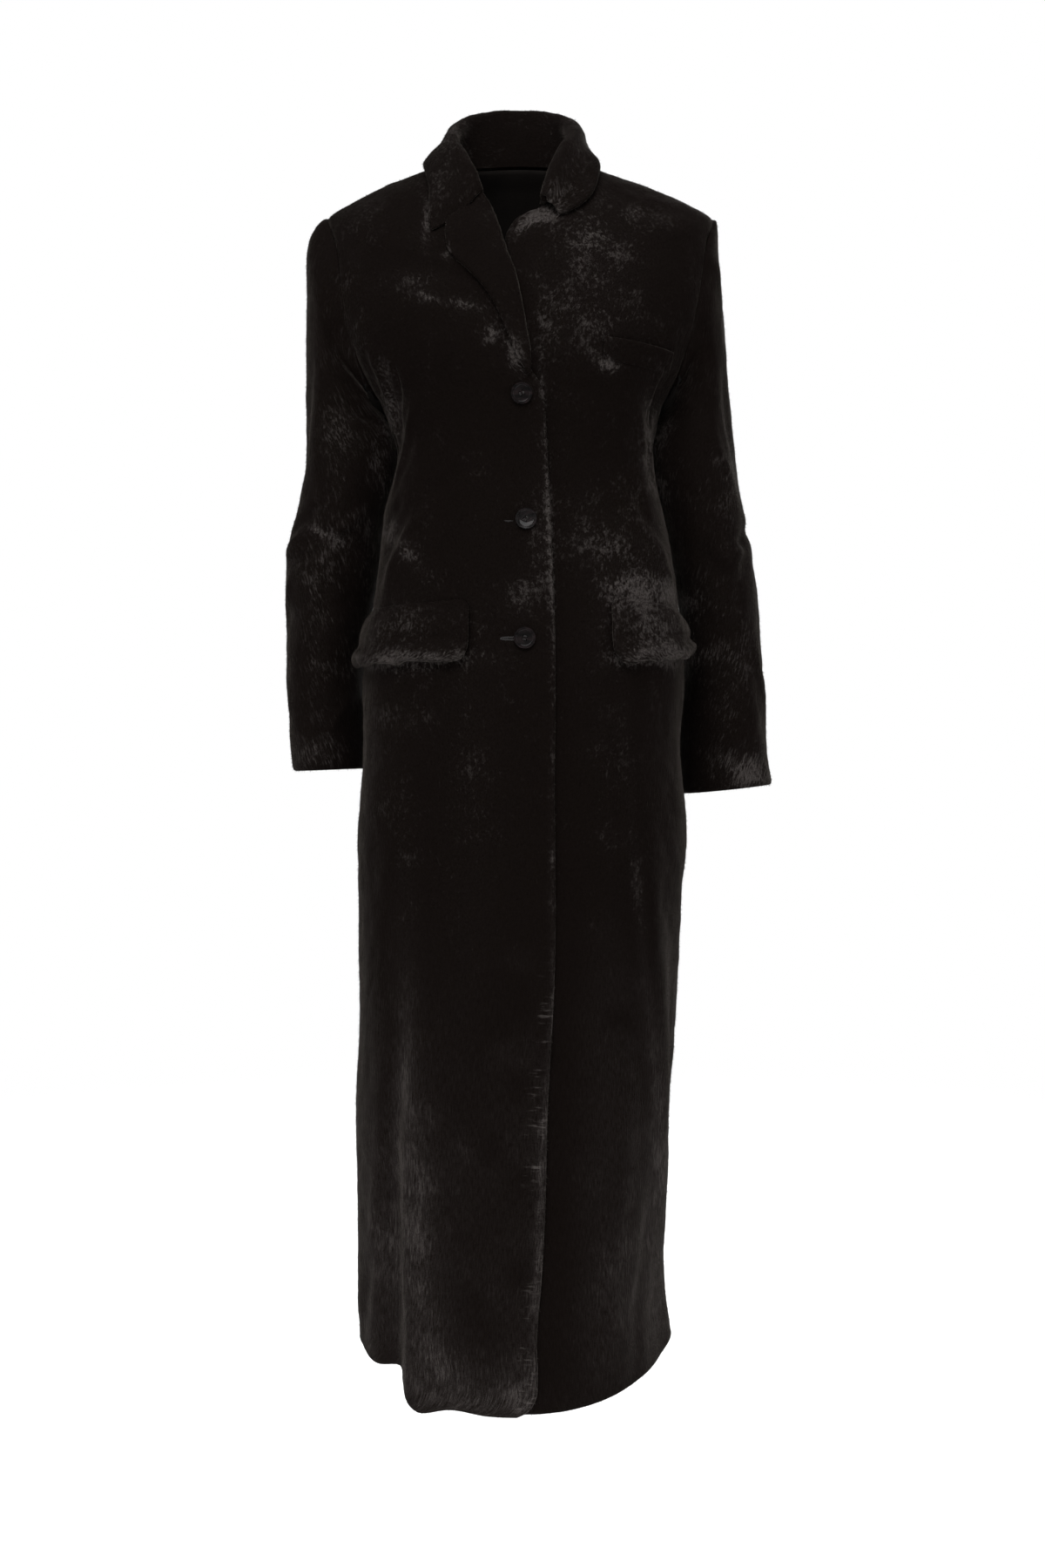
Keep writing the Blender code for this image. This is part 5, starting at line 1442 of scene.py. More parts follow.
def make_fronts():
    """Both fronts: the right one pressed in at its buttonholes, the left one shaded beside it."""
    spacing = bpy.context.scene.coat_mesh.spacing
    levels = fine_levels(spacing)
    shares = spread(FRONT_WIDTH, spacing)
    angles = front_angles(-1, RIGHT_EDGE, levels, shares)
    outer = right_body(angles, levels[:, None])
    from_edge = lengths(outer, 1)
    ripple = smoothstep((0.026 - from_edge) / 0.016) * smoothstep((-0.78 - outer[..., 2]) / 0.12)
    ripple = ripple * (0.65 + 0.35 * cloud(outer, 0.05, 21))
    pressed = np.zeros(angles.shape)
    hole = bpy.context.scene.coat_buttons.buttonhole
    for x, z in BUTTON_PLACES:
        along_it = np.abs(outer[..., 0] - (x - hole * HOLE_MIDDLE)) / (hole * 0.5)
        off = (outer[..., 2] - z) / 0.0032
        pressed -= 0.0020 * smoothstep(1.5 - along_it) * np.exp(-(off**2))
    free = ("top", "start")
    cloth_piece(body_wall("front_right", right_body, angles, levels, free, ripple, pressed))
    angles = front_angles(1, LEFT_EDGE, levels, shares)
    wall = body_wall("front_left", left_body, angles, levels, free)
    # painted shade: the left front's painted sheen drops to about a tenth beside and under the
    # right front's edge, lower down the skirt
    beside = wall.outer[..., 0] - edge_x(RIGHT_EDGE, wall.outer[..., 2])
    lit = 0.12 + 0.88 * smoothstep((beside - 0.012) / 0.045)
    wall.brushed *= mix(1.0, lit, smoothstep((-0.45 - wall.outer[..., 2]) / 0.12))
    cloth_piece(wall)


def make_back():
    """The back, from side seam to side seam."""
    spacing = bpy.context.scene.coat_mesh.spacing * 1.06
    levels = fine_levels(spacing)
    angles = back_angles(levels, spread(BACK_WIDTH, spacing))
    cloth_piece(body_wall("back", left_body, angles, levels, ("top",)))


def armhole_ring(side):
    """The armhole's edge from the shoulder tip down the front and up the back, with normals."""
    oval = (1.0 + np.cos(np.linspace(0.0, math.pi, ARMHOLE_ROWS + 1))) / 2.0
    down = mix(UNDERARM, SHOULDER_TIP, oval)
    levels = np.concatenate([down, down[-2:0:-1]])
    front = math.pi / 2 - math.radians(ARMHOLE_FRONT) * armhole_share(down)
    back = math.pi / 2 + math.radians(ARMHOLE_BACK) * armhole_share(down[-2:0:-1])
    angles = side * np.concatenate([front, back])
    surface = right_body if side < 0 else left_body
    return surface(angles, levels), normals(surface, angles, levels)


def sleeve_frame(side, share):
    """Centre, half width and half depth of the sleeve at a share of its length."""
    name = SLEEVES[side][0]
    parts = (name + "_x", "y", name + "_z")
    centre = np.stack([along(SLEEVE, part, share) for part in parts], -1)
    return centre, along(SLEEVE, name + "_half", share), along(SLEEVE, "half_depth", share)


def sleeve_ring(side, share, turns):
    """Points of one cross-section, square to the arm; turn 0 is outside, 90 degrees in front."""
    centre, half, deep = sleeve_frame(side, share)
    ahead, _, _ = sleeve_frame(side, min(share + 0.02, 1.0))
    behind, _, _ = sleeve_frame(side, max(share - 0.02, 0.0))
    arm = unit(ahead - behind)
    outside = np.array([side, 0.0, 0.0])
    outside = unit(outside - arm * np.dot(outside, arm))
    front = np.cross(arm, outside) * side
    if front[1] > 0:
        front = -front
    ring = centre + np.cos(turns)[:, None] * half * outside
    return ring + np.sin(turns)[:, None] * deep * front


def coarse_sleeve(side):
    """The frame's own rows and columns of a sleeve's outside."""
    edge, edge_out = armhole_ring(side)
    count = len(edge)
    turns = np.arange(count) * 2.0 * math.pi / count
    run = np.roll(edge, -1, axis=0) - np.roll(edge, 1, axis=0)
    leaving = unit(np.cross(edge_out, unit(run)))
    hole = edge.mean(axis=0)
    towards = np.sum(leaving * (hole - edge), axis=-1) < 0
    leaving[towards] *= -1
    leaving = unit(leaving + 0.7 * np.array([side, 0.0, 0.0]))
    first = sleeve_ring(side, 0.0, turns)
    down = unit(sleeve_ring(side, 0.03, turns) - first)
    start = edge + SEAM * leaving
    length = np.linalg.norm(first - start, axis=-1) * 1.02 + CAP_SLACK
    upper = (1.0 + np.cos(turns)) / 2.0
    turn_length = smooth_curve((0.0, 0.5, 1.0), CAP_TURN, upper)
    turn_length = np.minimum(turn_length, 0.9 * length)
    rows = []
    for share in CAP_STEPS:
        gone = (share * length)[:, None]
        ray = start + leaving * gone
        drop = first - down * (length[:, None] - gone)
        rows.append(mix(ray, drop, smoothstep(gone / turn_length[:, None])))
    for share in np.linspace(0.0, 1.0, SLEEVE_ROWS):
        rows.append(sleeve_ring(side, share, turns))
    outer = np.array(rows)
    inside = slice(CAP_FIRST_SMOOTHED, len(CAP_STEPS))
    for _ in range(CAP_SMOOTHING):
        beside = (np.roll(outer, 1, axis=1) + np.roll(outer, -1, axis=1))[inside]
        before = outer[inside.start - 1 : inside.stop - 1]
        after = outer[inside.start + 1 : inside.stop + 1]
        outer[inside] = mix(outer[inside], (beside + before + after) / 4, 0.5)
    return outer


def make_sleeve(side):
    """One sleeve: its cap smoothed, its creases and wrinkles laid on, its inside held off."""
    sizes = bpy.context.scene.coat_mesh
    name, creases, wrinkles = SLEEVES[side]
    coarse = coarse_sleeve(side)
    count = int(round(SLEEVE_GIRTH / sizes.spacing))
    turns = np.arange(count) / count
    down = lengths(coarse, 0).mean(axis=1)
    fine = spread(down[-1], sizes.spacing)
    rows = smooth_curve(down / down[-1], np.linspace(0.0, 1.0, len(down)), fine)
    outer = refined(coarse, np.clip(rows, 0.0, 1.0), turns, closed=True)
    gone = lengths(outer, 0)
    eased = smoothstep((gone - 0.003) / 0.012) * smoothstep((0.13 - gone) / 0.05)
    eased = eased * smoothstep(0.35 + 0.65 * np.cos(2.0 * math.pi * turns))[None, :]
    for _ in range(CAP_EASING):
        beside = np.roll(outer, 1, axis=1) + np.roll(outer, -1, axis=1)
        above = np.concatenate([outer[:1], outer[:-1]]) + np.concatenate([outer[1:], outer[-1:]])
        outer = mix(outer, (beside + above) / 4, 0.6 * eased[..., None])
    out = grid_normals(outer, closed=True)
    flip = np.sign(np.sum(out[-1] * (outer[-1] - outer[-1].mean(axis=0))))
    around = 2.0 * math.pi * turns[None, :]
    degrees, z = np.degrees(around), outer[..., 2]
    relief = np.zeros(z.shape)
    for crease in creases:
        relief += crease.depth * fold_shape(crease, degrees, z)
    by_body = np.exp(-(((degrees - 176.0) / 42.0) ** 2))
    nearer = smoothstep((z + 0.345) / 0.04) * smoothstep((-0.170 - z) / 0.03)
    nearer = nearer + 0.9 * smoothstep((-0.520 - z) / 0.04)
    relief = relief + 0.0060 * by_body * nearer
    outer = outer + flip * out * relief[..., None]
    inner = outer - WALL * flip * grid_normals(outer, closed=True)
    relief = sizes.wrinkles * wrinkled(around, z, wrinkles, AROUND_ARM)
    cloth_piece(Wall("sleeve_" + name, outer, inner, ("foot",), ("top",), True, relief))


def body_for(angle):
    """The surface of whichever panel lies at this angle."""
    return right_body if -90.0 < half_turn(math.degrees(angle)) < 10.0 else left_body


def collar_section(share, trees, panels):
    """Middle of the collar's skin across one station: up the stand, over, and down the fall."""
    half = TRIM_WALL / 2
    stand_angle = np.array(math.radians(along(COLLAR, "stand", share)))
    fall_angle = np.array(math.radians(along(COLLAR, "fall", share)))
    fall_level = np.array(along(COLLAR, "fall_level", share))
    surface = body_for(stand_angle)
    neck = surface(stand_angle, np.array(NECK))
    neck_out = normals(surface, stand_angle, np.array(NECK))
    rise = unit(neck - surface(stand_angle, np.array(NECK - SMALL_RISE)))
    surface = body_for(fall_angle)
    fall_out = normals(surface, fall_angle, fall_level)
    lying = surface(fall_angle, fall_level)
    fall = lying + fall_out * (half + FALL_RESTING)
    fall_rise = unit(surface(fall_angle, fall_level + SMALL_RISE) - lying)
    roll = np.array([along(COLLAR, "roll_" + axis, share) for axis in "xyz"])
    bend = along(COLLAR, "bend", share)
    seat = neck - neck_out * WALL / 2
    up = unit(roll - (seat + fall) / 2)
    across = fall - seat
    across = unit(across - up * np.dot(across, up))
    centre = roll - up * bend
    inside = centre - across * bend
    outside = centre + across * bend
    standing = unit(inside - seat)
    aside = unit(across - standing * np.dot(across, standing)) * half
    stand = seat + rise * SEAM
    while min(gap_to(panels, Vector(stand + way))[0] for way in (-aside, aside)) < 2 * SEAM:
        stand = stand + rise * SEAM
    line = [mix(stand, inside, step) for step in (0.0, 0.4, 0.8)]
    for turn in np.radians((0.0, 45.0, 90.0, 135.0, 180.0)):
        line.append(centre + bend * (up * math.sin(turn) - across * math.cos(turn)))
    sag = along(COLLAR, "sag", share)
    bulge = along(COLLAR, "bulge", share)
    length = np.linalg.norm(outside - fall)
    control = fall + fall_rise * 0.5 * length + fall_out * bulge
    control = control - np.array([0.0, 0.0, sag])
    for step in (0.25, 0.5, 0.75, 1.0):
        near, far = mix(outside, control, step), mix(control, fall, step)
        place = mix(near, far, step)
        line.append(place + shortfall(trees, place, half + FALL_RESTING))
    return line


def both(change, outer, inner, *given):
    """The same change made to both faces of a wall."""
    return change(outer, *given), change(inner, *given)


def drawn_out(grid, by, over):
    """A grid whose first and last rows are drawn out along its run, easing off inwards."""
    grid = grid.copy()
    gone = lengths(grid, 0)
    first, last = unit(grid[0] - grid[4]), unit(grid[-1] - grid[-5])
    grid += by[0] * smoothstep(1.0 - gone / over)[..., None] * first
    return grid + by[1] * smoothstep(1.0 - (gone[-1:] - gone) / over)[..., None] * last


def leant(grid, place, width, over, by, last=False):
    """A grid moved near one of its ends, most at a place across it, easing off along its run."""
    gone = lengths(grid, 0)
    gone = gone[-1:] - gone if last else gone
    across = np.linspace(0.0, 1.0, grid.shape[1])
    near = np.exp(-(((across - place) / width) ** 2)) * smoothstep(1.0 - gone / over)
    return grid + near[..., None] * np.array(by)


def make_collar():
    """The collar, its roll hollow but for its ends, which are drawn out and thin."""
    spacing = bpy.context.scene.coat_mesh.spacing
    trees = surface_trees()
    panels = [tree_of_node(name) for name in ("front_right", "front_left", "back")]
    shares = np.linspace(0.0, 1.0, COLLAR_ROWS)
    middle = np.array([collar_section(share, trees, panels) for share in shares])
    out = grid_normals(middle, closed=False) * TRIM_WALL / 2
    if np.sum(out[:, 5] * (middle[:, 5] - middle[:, 0])) < 0:
        out = -out
    outer, inner = settled(middle + out, middle - out, trees, slice(8, None), FALL_RESTING)
    rows = spread(COLLAR_LENGTH, spacing)
    columns = spread(COLLAR_WIDTH, spacing * 0.6)
    fold = 2.0 * COLLAR_FOLD - columns
    opposite = refined(inner, rows, np.clip(fold, 0.0, 1.0))
    outer, inner = both(refined, outer, inner, rows, columns)
    gap = opposite - inner
    from_end = COLLAR_LENGTH * np.minimum(rows, 1.0 - rows)
    near_end = smoothstep(1.15 - from_end / 0.011)
    closed = smoothstep((0.0100 - np.linalg.norm(gap, axis=-1)) / 0.003) * (fold > 0.0)
    inner = inner + 0.47 * (near_end[:, None] * closed)[..., None] * gap
    outer, inner = both(drawn_out, outer, inner, (0.0060, 0.0026), 0.020)
    lean = (0.0, 0.0085, -0.0020)
    outer, inner = both(leant, outer, inner, COLLAR_FOLD, 0.26, 0.040, lean)
    tapered = smoothstep(1.1 - from_end / 0.018)[:, None]
    tapered = tapered * smoothstep((columns - COLLAR_FOLD) / 0.15)
    outer = mix(outer, inner, 0.60 * tapered[..., None])
    cloth_piece(Wall("collar", outer, inner, ("top", "foot", "end"), ("start",)))


def make_lapel():
    """The rolled lapel: flat on the right front, then round its roll."""
    spacing = bpy.context.scene.coat_mesh.spacing
    trees = surface_trees()[:1]
    half = TRIM_WALL / 2
    rows, outs = [], []
    for share in np.linspace(0.0, 1.0, LAPEL_ROWS):
        roll, edge = (
            np.array([along(LAPEL, part + axis, share) for axis in ("_x", "_z")])
            for part in ("roll", "edge")
        )
        inward = unit(edge - roll)
        leg_start = edge - inward * half
        leg_end = roll + inward * (half + LAPEL_ROLL)
        places = np.array([mix(leg_start, leg_end, step) for step in np.linspace(0, 1, 6)])
        angle, level = find_on_front(places[:, 0], places[:, 1])
        out = normals(right_body, angle, level)
        leg = right_body(angle, level) + out * (half + RESTING)
        leg = [point + shortfall(trees, point, half + RESTING) for point in leg]
        ahead = unit(leg[-1] - leg[-2])
        ahead = unit(ahead - out[-1] * np.dot(ahead, out[-1]))
        centre = leg[-1] - out[-1] * LAPEL_ROLL
        turns = np.linspace(0.0, math.radians(along(LAPEL, "turn", share)), 6)[1:, None]
        round_it = out[-1] * np.cos(turns) + ahead * np.sin(turns)
        rows.append(np.concatenate([leg, centre + LAPEL_ROLL * round_it]))
        outs.append(np.concatenate([out, round_it]))
    middle, out = np.array(rows), np.array(outs) * half
    outer, inner = settled(middle + out, middle - out, trees, slice(0, 6), RESTING)
    down = spread(LAPEL_LENGTH, spacing * 0.75)
    across = spread(LAPEL_WIDTH, spacing * 0.5, fine_end=False)
    outer, inner = both(refined, outer, inner, down, across)
    outer, inner = both(drawn_out, outer, inner, (0.0, 0.0060), 0.024)
    lean = (0.0, -0.0105, 0.0020)
    outer, inner = both(leant, outer, inner, 1.0, 0.70, 0.050, lean, True)
    cloth_piece(Wall("lapel_right", outer, inner, ("top", "start")))


def rounded_off(radius, distance):
    """How far a round corner draws an edge in, at a distance from the edge across it."""
    return radius - math.sqrt(radius**2 - max(radius - distance, 0.0) ** 2)


def make_flap(name):
    """A pocket flap that lies round the hip, thick along its foot, with round front corners."""
    spacing = bpy.context.scene.coat_mesh.spacing
    flap = FLAPS[name]
    surface = right_body if flap.back_angle < 0 else left_body
    side = math.copysign(1.0, flap.back_angle)
    back = math.radians(flap.back_angle)
    tall = flap.top_front - flap.foot_front
    steps = spread(flap.width, spacing * 0.55)
    angles, levels, shares = [], [], []
    for share in spread(FLAP_HEIGHT, spacing * 0.5):
        middle_z = mix(flap.top_front, flap.foot_front, share)
        start, _ = find_on_front(flap.front_x, middle_z)
        inset = rounded_off(FLAP_CORNER, (1.0 - share) * tall)
        inset += 0.6 * rounded_off(FLAP_TOP_CORNER, share * tall)
        start = float(start) + side * inset / float(ring_value("front", middle_z))
        angles.append(start + (back - start) * steps)
        top = mix(flap.top_front, flap.top_back, steps)
        foot = mix(flap.foot_front, flap.foot_back, steps)
        wave = cloud(np.stack([angles[-1] * 0.3, steps * 0.0, steps * 0.0], -1), 0.02, 31)
        levels.append(mix(top, foot, share) + 0.0022 * share**2 * wave)
        shares.append(np.full(len(steps), share))
    angles, levels, shares = np.array(angles), np.array(levels), np.array(shares)
    base = surface(angles, levels)
    out = normals(surface, angles, levels)
    inner = base + out * mix(*FLAP_INSIDE, shares)[..., None]
    swell = smooth_curve((0.0, 0.22, 0.55, 1.0), (0.0, 0.42, 0.72, 1.0), shares)
    outer = base + out * mix(*FLAP_OUTSIDE, swell)[..., None]
    uneven = 1.0 + 0.6 * cloud(base, 0.028, 32)
    roll = 0.0026 * uneven * np.exp(-(((shares - 0.84) / 0.11) ** 2))
    roll = roll - 0.0016 * uneven * np.exp(-(((shares - 0.60) / 0.10) ** 2))
    cloth_piece(Wall("flap_" + name, outer, inner, FLAP_FREE, ("top",), relief=roll))


def make_welt():
    """The breast pocket's welt, which stands off the front a little more at its top."""
    spacing = bpy.context.scene.coat_mesh.spacing * 0.5
    tilt = math.radians(WELT_TILT)
    across = spread(WELT_LENGTH, spacing) - 0.5
    rise = spread(WELT_HEIGHT, spacing) - 0.5
    rise, across = np.meshgrid(rise * WELT_HEIGHT, across * WELT_LENGTH, indexing="ij")
    x = WELT_CENTRE[0] + across * math.cos(tilt) - rise * math.sin(tilt)
    z = WELT_CENTRE[1] + across * math.sin(tilt) + rise * math.cos(tilt)
    angle, level = find_on_front(x, z)
    out = normals(left_body, angle, level)
    base = left_body(angle, level)
    upward = (rise / WELT_HEIGHT + 0.5)[..., None]
    outer, inner = base + out * mix(*WELT_OUTSIDE, upward), base + out * RESTING
    cloth_piece(Wall("breast_welt", outer, inner, FLAP_FREE, ("top",)))


def add_solid(name, points, faces, look, smooth=40.0):
    """A mesh with one finish, sharp where it turns by more than `smooth` degrees."""
    mesh = bpy.data.meshes.new(name)
    mesh.from_pydata([tuple(point) for point in points], [], [tuple(face) for face in faces])
    mesh.shade_smooth()
    mesh.set_sharp_from_angle(angle=math.radians(smooth))
    mesh.materials.append(look)
    return linked(name, mesh)


def tube(path, radius, sides=8):
    """Points and faces of a closed-ended tube along a path."""
    path = np.asarray(path, float)
    way = unit(np.gradient(path, axis=0))
    side = unit(np.cross(way, np.array([0.31, 0.17, 0.93])))
    up = np.cross(way, side)
    turns = np.linspace(0.0, 2.0 * math.pi, sides, endpoint=False)
    turns = turns[None, :, None]
    ring = np.cos(turns) * side[:, None] + np.sin(turns) * up[:, None]
    points = (path[:, None] + radius * ring).reshape(-1, 3)
    faces = []
    for row in range(len(path) - 1):
        for step in range(sides):
            one, two = row * sides + step, row * sides + (step + 1) % sides
            faces.append((one, two, two + sides, one + sides))
    faces.append(tuple(range(sides))[::-1])
    faces.append(tuple(range(len(points) - sides, len(points))))
    return points, faces


def joined(parts):
    """Several lots of points and faces as one."""
    points, faces, count = [], [], 0
    for some, ends in parts:
        points.append(np.asarray(some))
        faces.extend(tuple(count + corner for corner in face) for face in ends)
        count += len(some)
    return np.concatenate(points), faces


def button_frame(place):
    """Where a button lies: its middle and its own axes, the last one outwards."""
    angle, level = find_on_front(*place)
    out = Vector(normals(right_body, angle, level))
    centre = Vector(right_body(angle, level)) + out * SEAM
    side = Vector((0.0, 0.0, 1.0)).cross(out).normalized()
    turned = Matrix((side, out.cross(side), out)).transposed().to_4x4()
    turned.translation = centre
    return turned


def button_section(radius, height):
    """Half a section of a button, from the middle of its dish to the middle of its back."""
    dish, inner = height - BUTTON_DISH, radius - 3.5 * MM
    profile = [(0.0, dish - 0.15 * MM), (0.5 * (inner + 0.9 * MM), dish - 0.1 * MM), (inner, dish)]
    for step in np.radians((20.0, 45.0, 70.0, 90.0)):
        rise = 1.1 * MM * (1.0 - math.cos(step))
        profile.append((inner + 1.3 * MM * math.sin(step), dish + rise))
    for step in np.radians((60.0, 30.0, 0.0, -30.0, -55.0)):
        x = radius - 1.15 * MM + 1.15 * MM * math.cos(step)
        profile.append((x, height - 1.2 * MM + 1.2 * MM * math.sin(step)))
    profile += [(radius - 1.4 * MM, 0.4 * MM), (radius - 2.4 * MM, 0.0), (0.0, 0.0)]
    return profile


def turned_solid(profile, steps):
    """Points and faces of a section turned round its axis; it starts and ends on the axis."""
    points, faces = [(0.0, 0.0, profile[0][1])], []
    turns = np.linspace(0.0, 2.0 * math.pi, steps, endpoint=False)
    for radius, height in profile[1:-1]:
        points += [(radius * math.cos(turn), radius * math.sin(turn), height) for turn in turns]
    points.append((0.0, 0.0, profile[-1][1]))
    last = 1 + (len(profile) - 3) * steps
    for step in range(steps):
        after = (step + 1) % steps
        faces.append((0, 1 + step, 1 + after))
        for ring in range(1, last, steps):
            one, two = ring + step, ring + after
            faces.append((one, one + steps, two + steps, two))
        faces.append((last + after, last + step, len(points) - 1))
    return points, faces


def make_button(number, place):
    """A button with a dished face, four holes and two bars of thread."""
    sizes = bpy.context.scene.coat_buttons
    name = f"coat_button_{number}"
    turned = turned_solid(button_section(sizes.radius, sizes.height), 56)
    button = add_solid(name, *turned, horn_look(), 60.0)
    reach = sizes.hole_spacing / 2
    corners = [(a * reach, b * reach) for a in (-1, 1) for b in (-1, 1)]
    rods = [tube([(x, y, z * MM) for z in (-4.0, 2.0, 8.0)], 1.0 * MM, 14) for x, y in corners]
    cutter = add_solid(name + "_cutter", *joined(rods), horn_look())
    holes = button.modifiers.new("Thread holes", "BOOLEAN")
    holes.operation, holes.solver, holes.object = "DIFFERENCE", "EXACT", cutter
    cut = evaluated_mesh(button)
    button.modifiers.clear()
    button.data = cut
    bpy.data.objects.remove(cutter)
    turned = button_frame(place) @ Matrix.Rotation(math.radians(24.0 * number), 4, "Z")
    cut.transform(turned)
    cut.shade_smooth()
    cut.set_sharp_from_angle(angle=math.radians(38.0))
    settle_piece(button, "black_button", f"button_{number}")
    bars = []
    face = sizes.height - BUTTON_DISH
    for x in (-reach, reach):
        for strand in (-0.34 * MM, 0.0, 0.34 * MM):
            line = []
            for step in np.linspace(0.0, 1.0, 13):
                y = (2.0 * step - 1.0) * reach
                rise = face + 0.75 * MM * math.sin(math.pi * step) ** 0.5 - 0.5 * MM
                if step in (0.0, 1.0):
                    rise = face - 1.6 * MM
                line.append((x + strand * (0.5 + math.sin(math.pi * step)), y, rise))
            bars.append(tube(line, 0.24 * MM, 6))
    thread = add_solid(name + "_thread", *joined(bars), thread_look())
    thread.data.transform(turned)
    settle_piece(thread, "black_button")


def make_buttonhole(number, place):
    """A buttonhole: a narrow slit with corded lips, overcast all round."""
    length = bpy.context.scene.coat_buttons.buttonhole
    count = 44
    turns = np.linspace(0.0, 2.0 * math.pi, count, endpoint=False)
    x = place[0] - HOLE_MIDDLE * length + 0.5 * length * np.cos(turns)
    z = place[1] + 1.3 * MM * np.sign(np.sin(turns)) * np.abs(np.sin(turns)) ** 0.6
    angle, level = find_on_front(x, z)
    out = normals(right_body, angle, level)
    line = right_body(angle, level) - out * 1.6 * MM
    name = f"coat_buttonhole_{number}"
    cord = tube(np.concatenate([line, line[:2]]), 0.55 * MM, 7)
    cord_ring = add_solid(name + "_gimp", *cord, thread_look())
    mesh = bpy.data.meshes.new(name + "_path")
    mesh.from_pydata(line.tolist(), [(k, (k + 1) % count) for k in range(count)], [])
    run = unit(np.roll(line, -1, 0) - np.roll(line, 1, 0))
    across = mesh.attributes.new("across", "FLOAT_VECTOR", "POINT")
    across.data.foreach_set("vector", np.cross(run, out).astype(np.float32).ravel())
    sizes = {**STITCHES, "Seed": number, "Material": thread_look()}
    stitches = grown(stitch_tree(), mesh, name, **sizes)
    for piece in (stitches, cord_ring):
        settle_piece(piece, PILE)


# ---- the stage


def floor_look():
    """A pale floor that fades into the background."""
    look = Finish("pale_floor", specular_ior_level=0.2, emission_strength=0.62)
    dust = look.noise(look.place, 3.0, 3.0, 0.5)
    share = look.between(dust, 0.3, 0.7)
    look.set("Base Color", look.blend(share, (0.90, 0.90, 0.90, 1.0), (0.93, 0.93, 0.93, 1.0)))
    look.set("Emission Color", (1.0, 1.0, 1.0, 1.0))
    look.set("Roughness", 0.7 + 0.1 * dust)
    flat = look.vector("MULTIPLY", look.place, (1.0, 1.0, 0.0))
    away = look.value("ShaderNodeVectorMath", {"operation": "LENGTH"}, {0: flat}, "Value")
    look.set("Alpha", look.between(away, 2.6, 0.8))
    return look.material


def add_softbox(name, place, aimed_at, width, height, power):
    """A soft light aimed at the coat's middle line, at a level."""
    light = bpy.data.lights.new(name, "AREA")
    light.shape, light.size, light.size_y, light.energy = "RECTANGLE", width, height, power
    lamp = linked(name, light, bpy.context.scene.collection)
    lamp.location = place
    way = Vector((0.0, 0.0, aimed_at)) - Vector(place)
    lamp.rotation_euler = way.to_track_quat("-Z", "Y").to_euler()


def make_stage():
    """The camera where the photograph was taken, a floor, a plain background and softboxes."""
    scene = bpy.context.scene
    stage = scene.coat_stage
    view = bpy.data.cameras.new("camera")
    view.sensor_width = SENSOR
    view.lens = SENSOR * FOCAL_LENGTH
    view.clip_start, view.clip_end = 0.05, 100.0
    camera = linked("camera", view, scene.collection)
    camera.location = (0.0, -stage.camera_distance, stage.camera_height)
    camera.rotation_euler = (math.pi / 2, 0.0, 0.0)
    scene.camera = camera
    turns = np.linspace(0.0, 2.0 * math.pi, 96, endpoint=False)
    ring = [(2.8 * math.cos(t), 2.8 * math.sin(t), stage.floor_height) for t in turns]
    mesh = bpy.data.meshes.new("floor")
    mesh.from_pydata(ring, [], [tuple(range(96))])
    mesh.materials.append(floor_look())
    linked("floor", mesh, scene.collection)
    world = bpy.data.worlds.new("plain_white")
    world.use_nodes = True
    net = Nodes(world.node_tree)
    white = colour((1.0, 1.0, 1.0))
    seen, light = (
        net.value("ShaderNodeBackground", None, {"Color": white, "Strength": strength})
        for strength in (stage.background, stage.daylight)
    )
    direct = net.value("ShaderNodeLightPath", None, None, "Is Camera Ray")
    both = net.value("ShaderNodeMixShader", None, {0: direct, 1: light, 2: seen})
    net.feed(world.node_tree.nodes["World Output"].inputs["Surface"], both)
    scene.world = world
    for name, (place, aimed_at, width, height, watts) in SOFTBOXES.items():
        power = watts * stage.softboxes
        add_softbox("softbox_" + name, place, aimed_at, width, height, power)
    scene.view_settings.view_transform = "Standard"


# ---- operators and panel


class COAT_OT_stage(bpy.types.Operator):
    """Makes the camera, the floor and the lights"""

    bl_idname = "coat.stage"
    bl_label = "Stage"

    def execute(self, context):
        make_stage()
        return {"FINISHED"}


class COAT_OT_fronts(bpy.types.Operator):
    """Makes both fronts"""

    bl_idname = "coat.fronts"
    bl_label = "Fronts"

    def execute(self, context):
        make_fronts()
        return {"FINISHED"}


class COAT_OT_back(bpy.types.Operator):
    """Makes the back"""

    bl_idname = "coat.back"
    bl_label = "Back"

    def execute(self, context):
        make_back()
        return {"FINISHED"}


class COAT_OT_sleeves(bpy.types.Operator):
    """Makes both sleeves"""

    bl_idname = "coat.sleeves"
    bl_label = "Sleeves"

    def execute(self, context):
        for side in (-1, 1):
            make_sleeve(side)
        return {"FINISHED"}


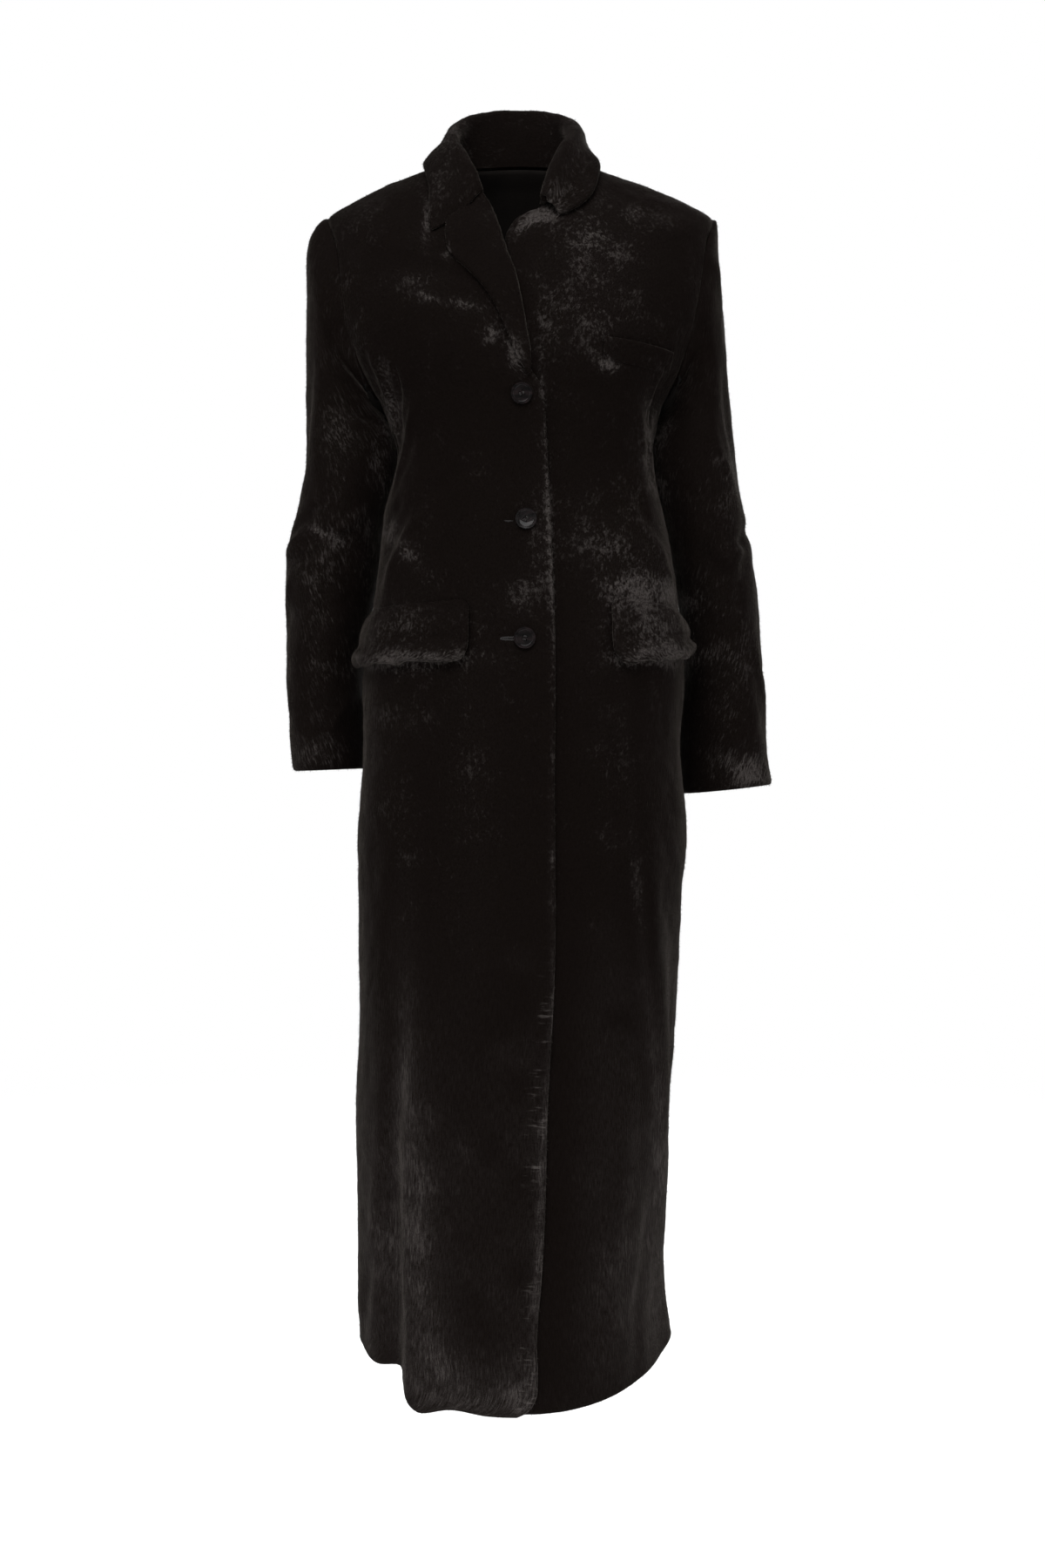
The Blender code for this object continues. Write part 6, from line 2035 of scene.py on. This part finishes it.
class COAT_OT_collar(bpy.types.Operator):
    """Makes the collar and the rolled lapel"""

    bl_idname = "coat.collar"
    bl_label = "Collar and lapel"

    def execute(self, context):
        make_collar()
        make_lapel()
        return {"FINISHED"}


class COAT_OT_pockets(bpy.types.Operator):
    """Makes the hip flaps and the breast welt"""

    bl_idname = "coat.pockets"
    bl_label = "Flaps and welt"

    def execute(self, context):
        for name in FLAPS:
            make_flap(name)
        make_welt()
        return {"FINISHED"}


class COAT_OT_buttons(bpy.types.Operator):
    """Makes the buttons with their thread, and the buttonholes"""

    bl_idname = "coat.buttons"
    bl_label = "Buttons and buttonholes"

    def execute(self, context):
        for number, place in enumerate(BUTTON_PLACES, start=1):
            make_button(number, place)
            make_buttonhole(number, place)
        return {"FINISHED"}


SETTINGS = {
    "coat_mesh": CoatMesh,
    "coat_pile": CoatPile,
    "coat_buttons": CoatButtons,
    "coat_stage": CoatStage,
}
STEPS = (COAT_OT_stage, COAT_OT_fronts, COAT_OT_back, COAT_OT_sleeves, COAT_OT_collar)
STEPS += (COAT_OT_pockets, COAT_OT_buttons)


class COAT_PT_panel(bpy.types.Panel):
    """The coat's settings and its steps"""

    bl_idname = "COAT_PT_panel"
    bl_label = "Shearling coat"
    bl_space_type = "VIEW_3D"
    bl_region_type = "UI"
    bl_category = "Coat"

    def draw(self, context):
        for name, group in SETTINGS.items():
            box = self.layout.box()
            for key in group.__annotations__:
                box.prop(getattr(context.scene, name), key)
        for step in STEPS:
            self.layout.operator(step.bl_idname)


def register():
    for group in (*SETTINGS.values(), *STEPS, COAT_PT_panel):
        bpy.utils.register_class(group)
    for name, group in SETTINGS.items():
        setattr(bpy.types.Scene, name, PointerProperty(type=group))


def unregister():
    for name in SETTINGS:
        delattr(bpy.types.Scene, name)
    for group in (COAT_PT_panel, *reversed(STEPS), *reversed(list(SETTINGS.values()))):
        bpy.utils.unregister_class(group)


def main():
    register()
    bpy.ops.coat.stage()
    bpy.ops.coat.fronts()
    bpy.ops.coat.back()
    bpy.ops.coat.sleeves()
    bpy.ops.coat.collar()
    bpy.ops.coat.pockets()
    bpy.ops.coat.buttons()


if __name__ == "__main__":
    main()
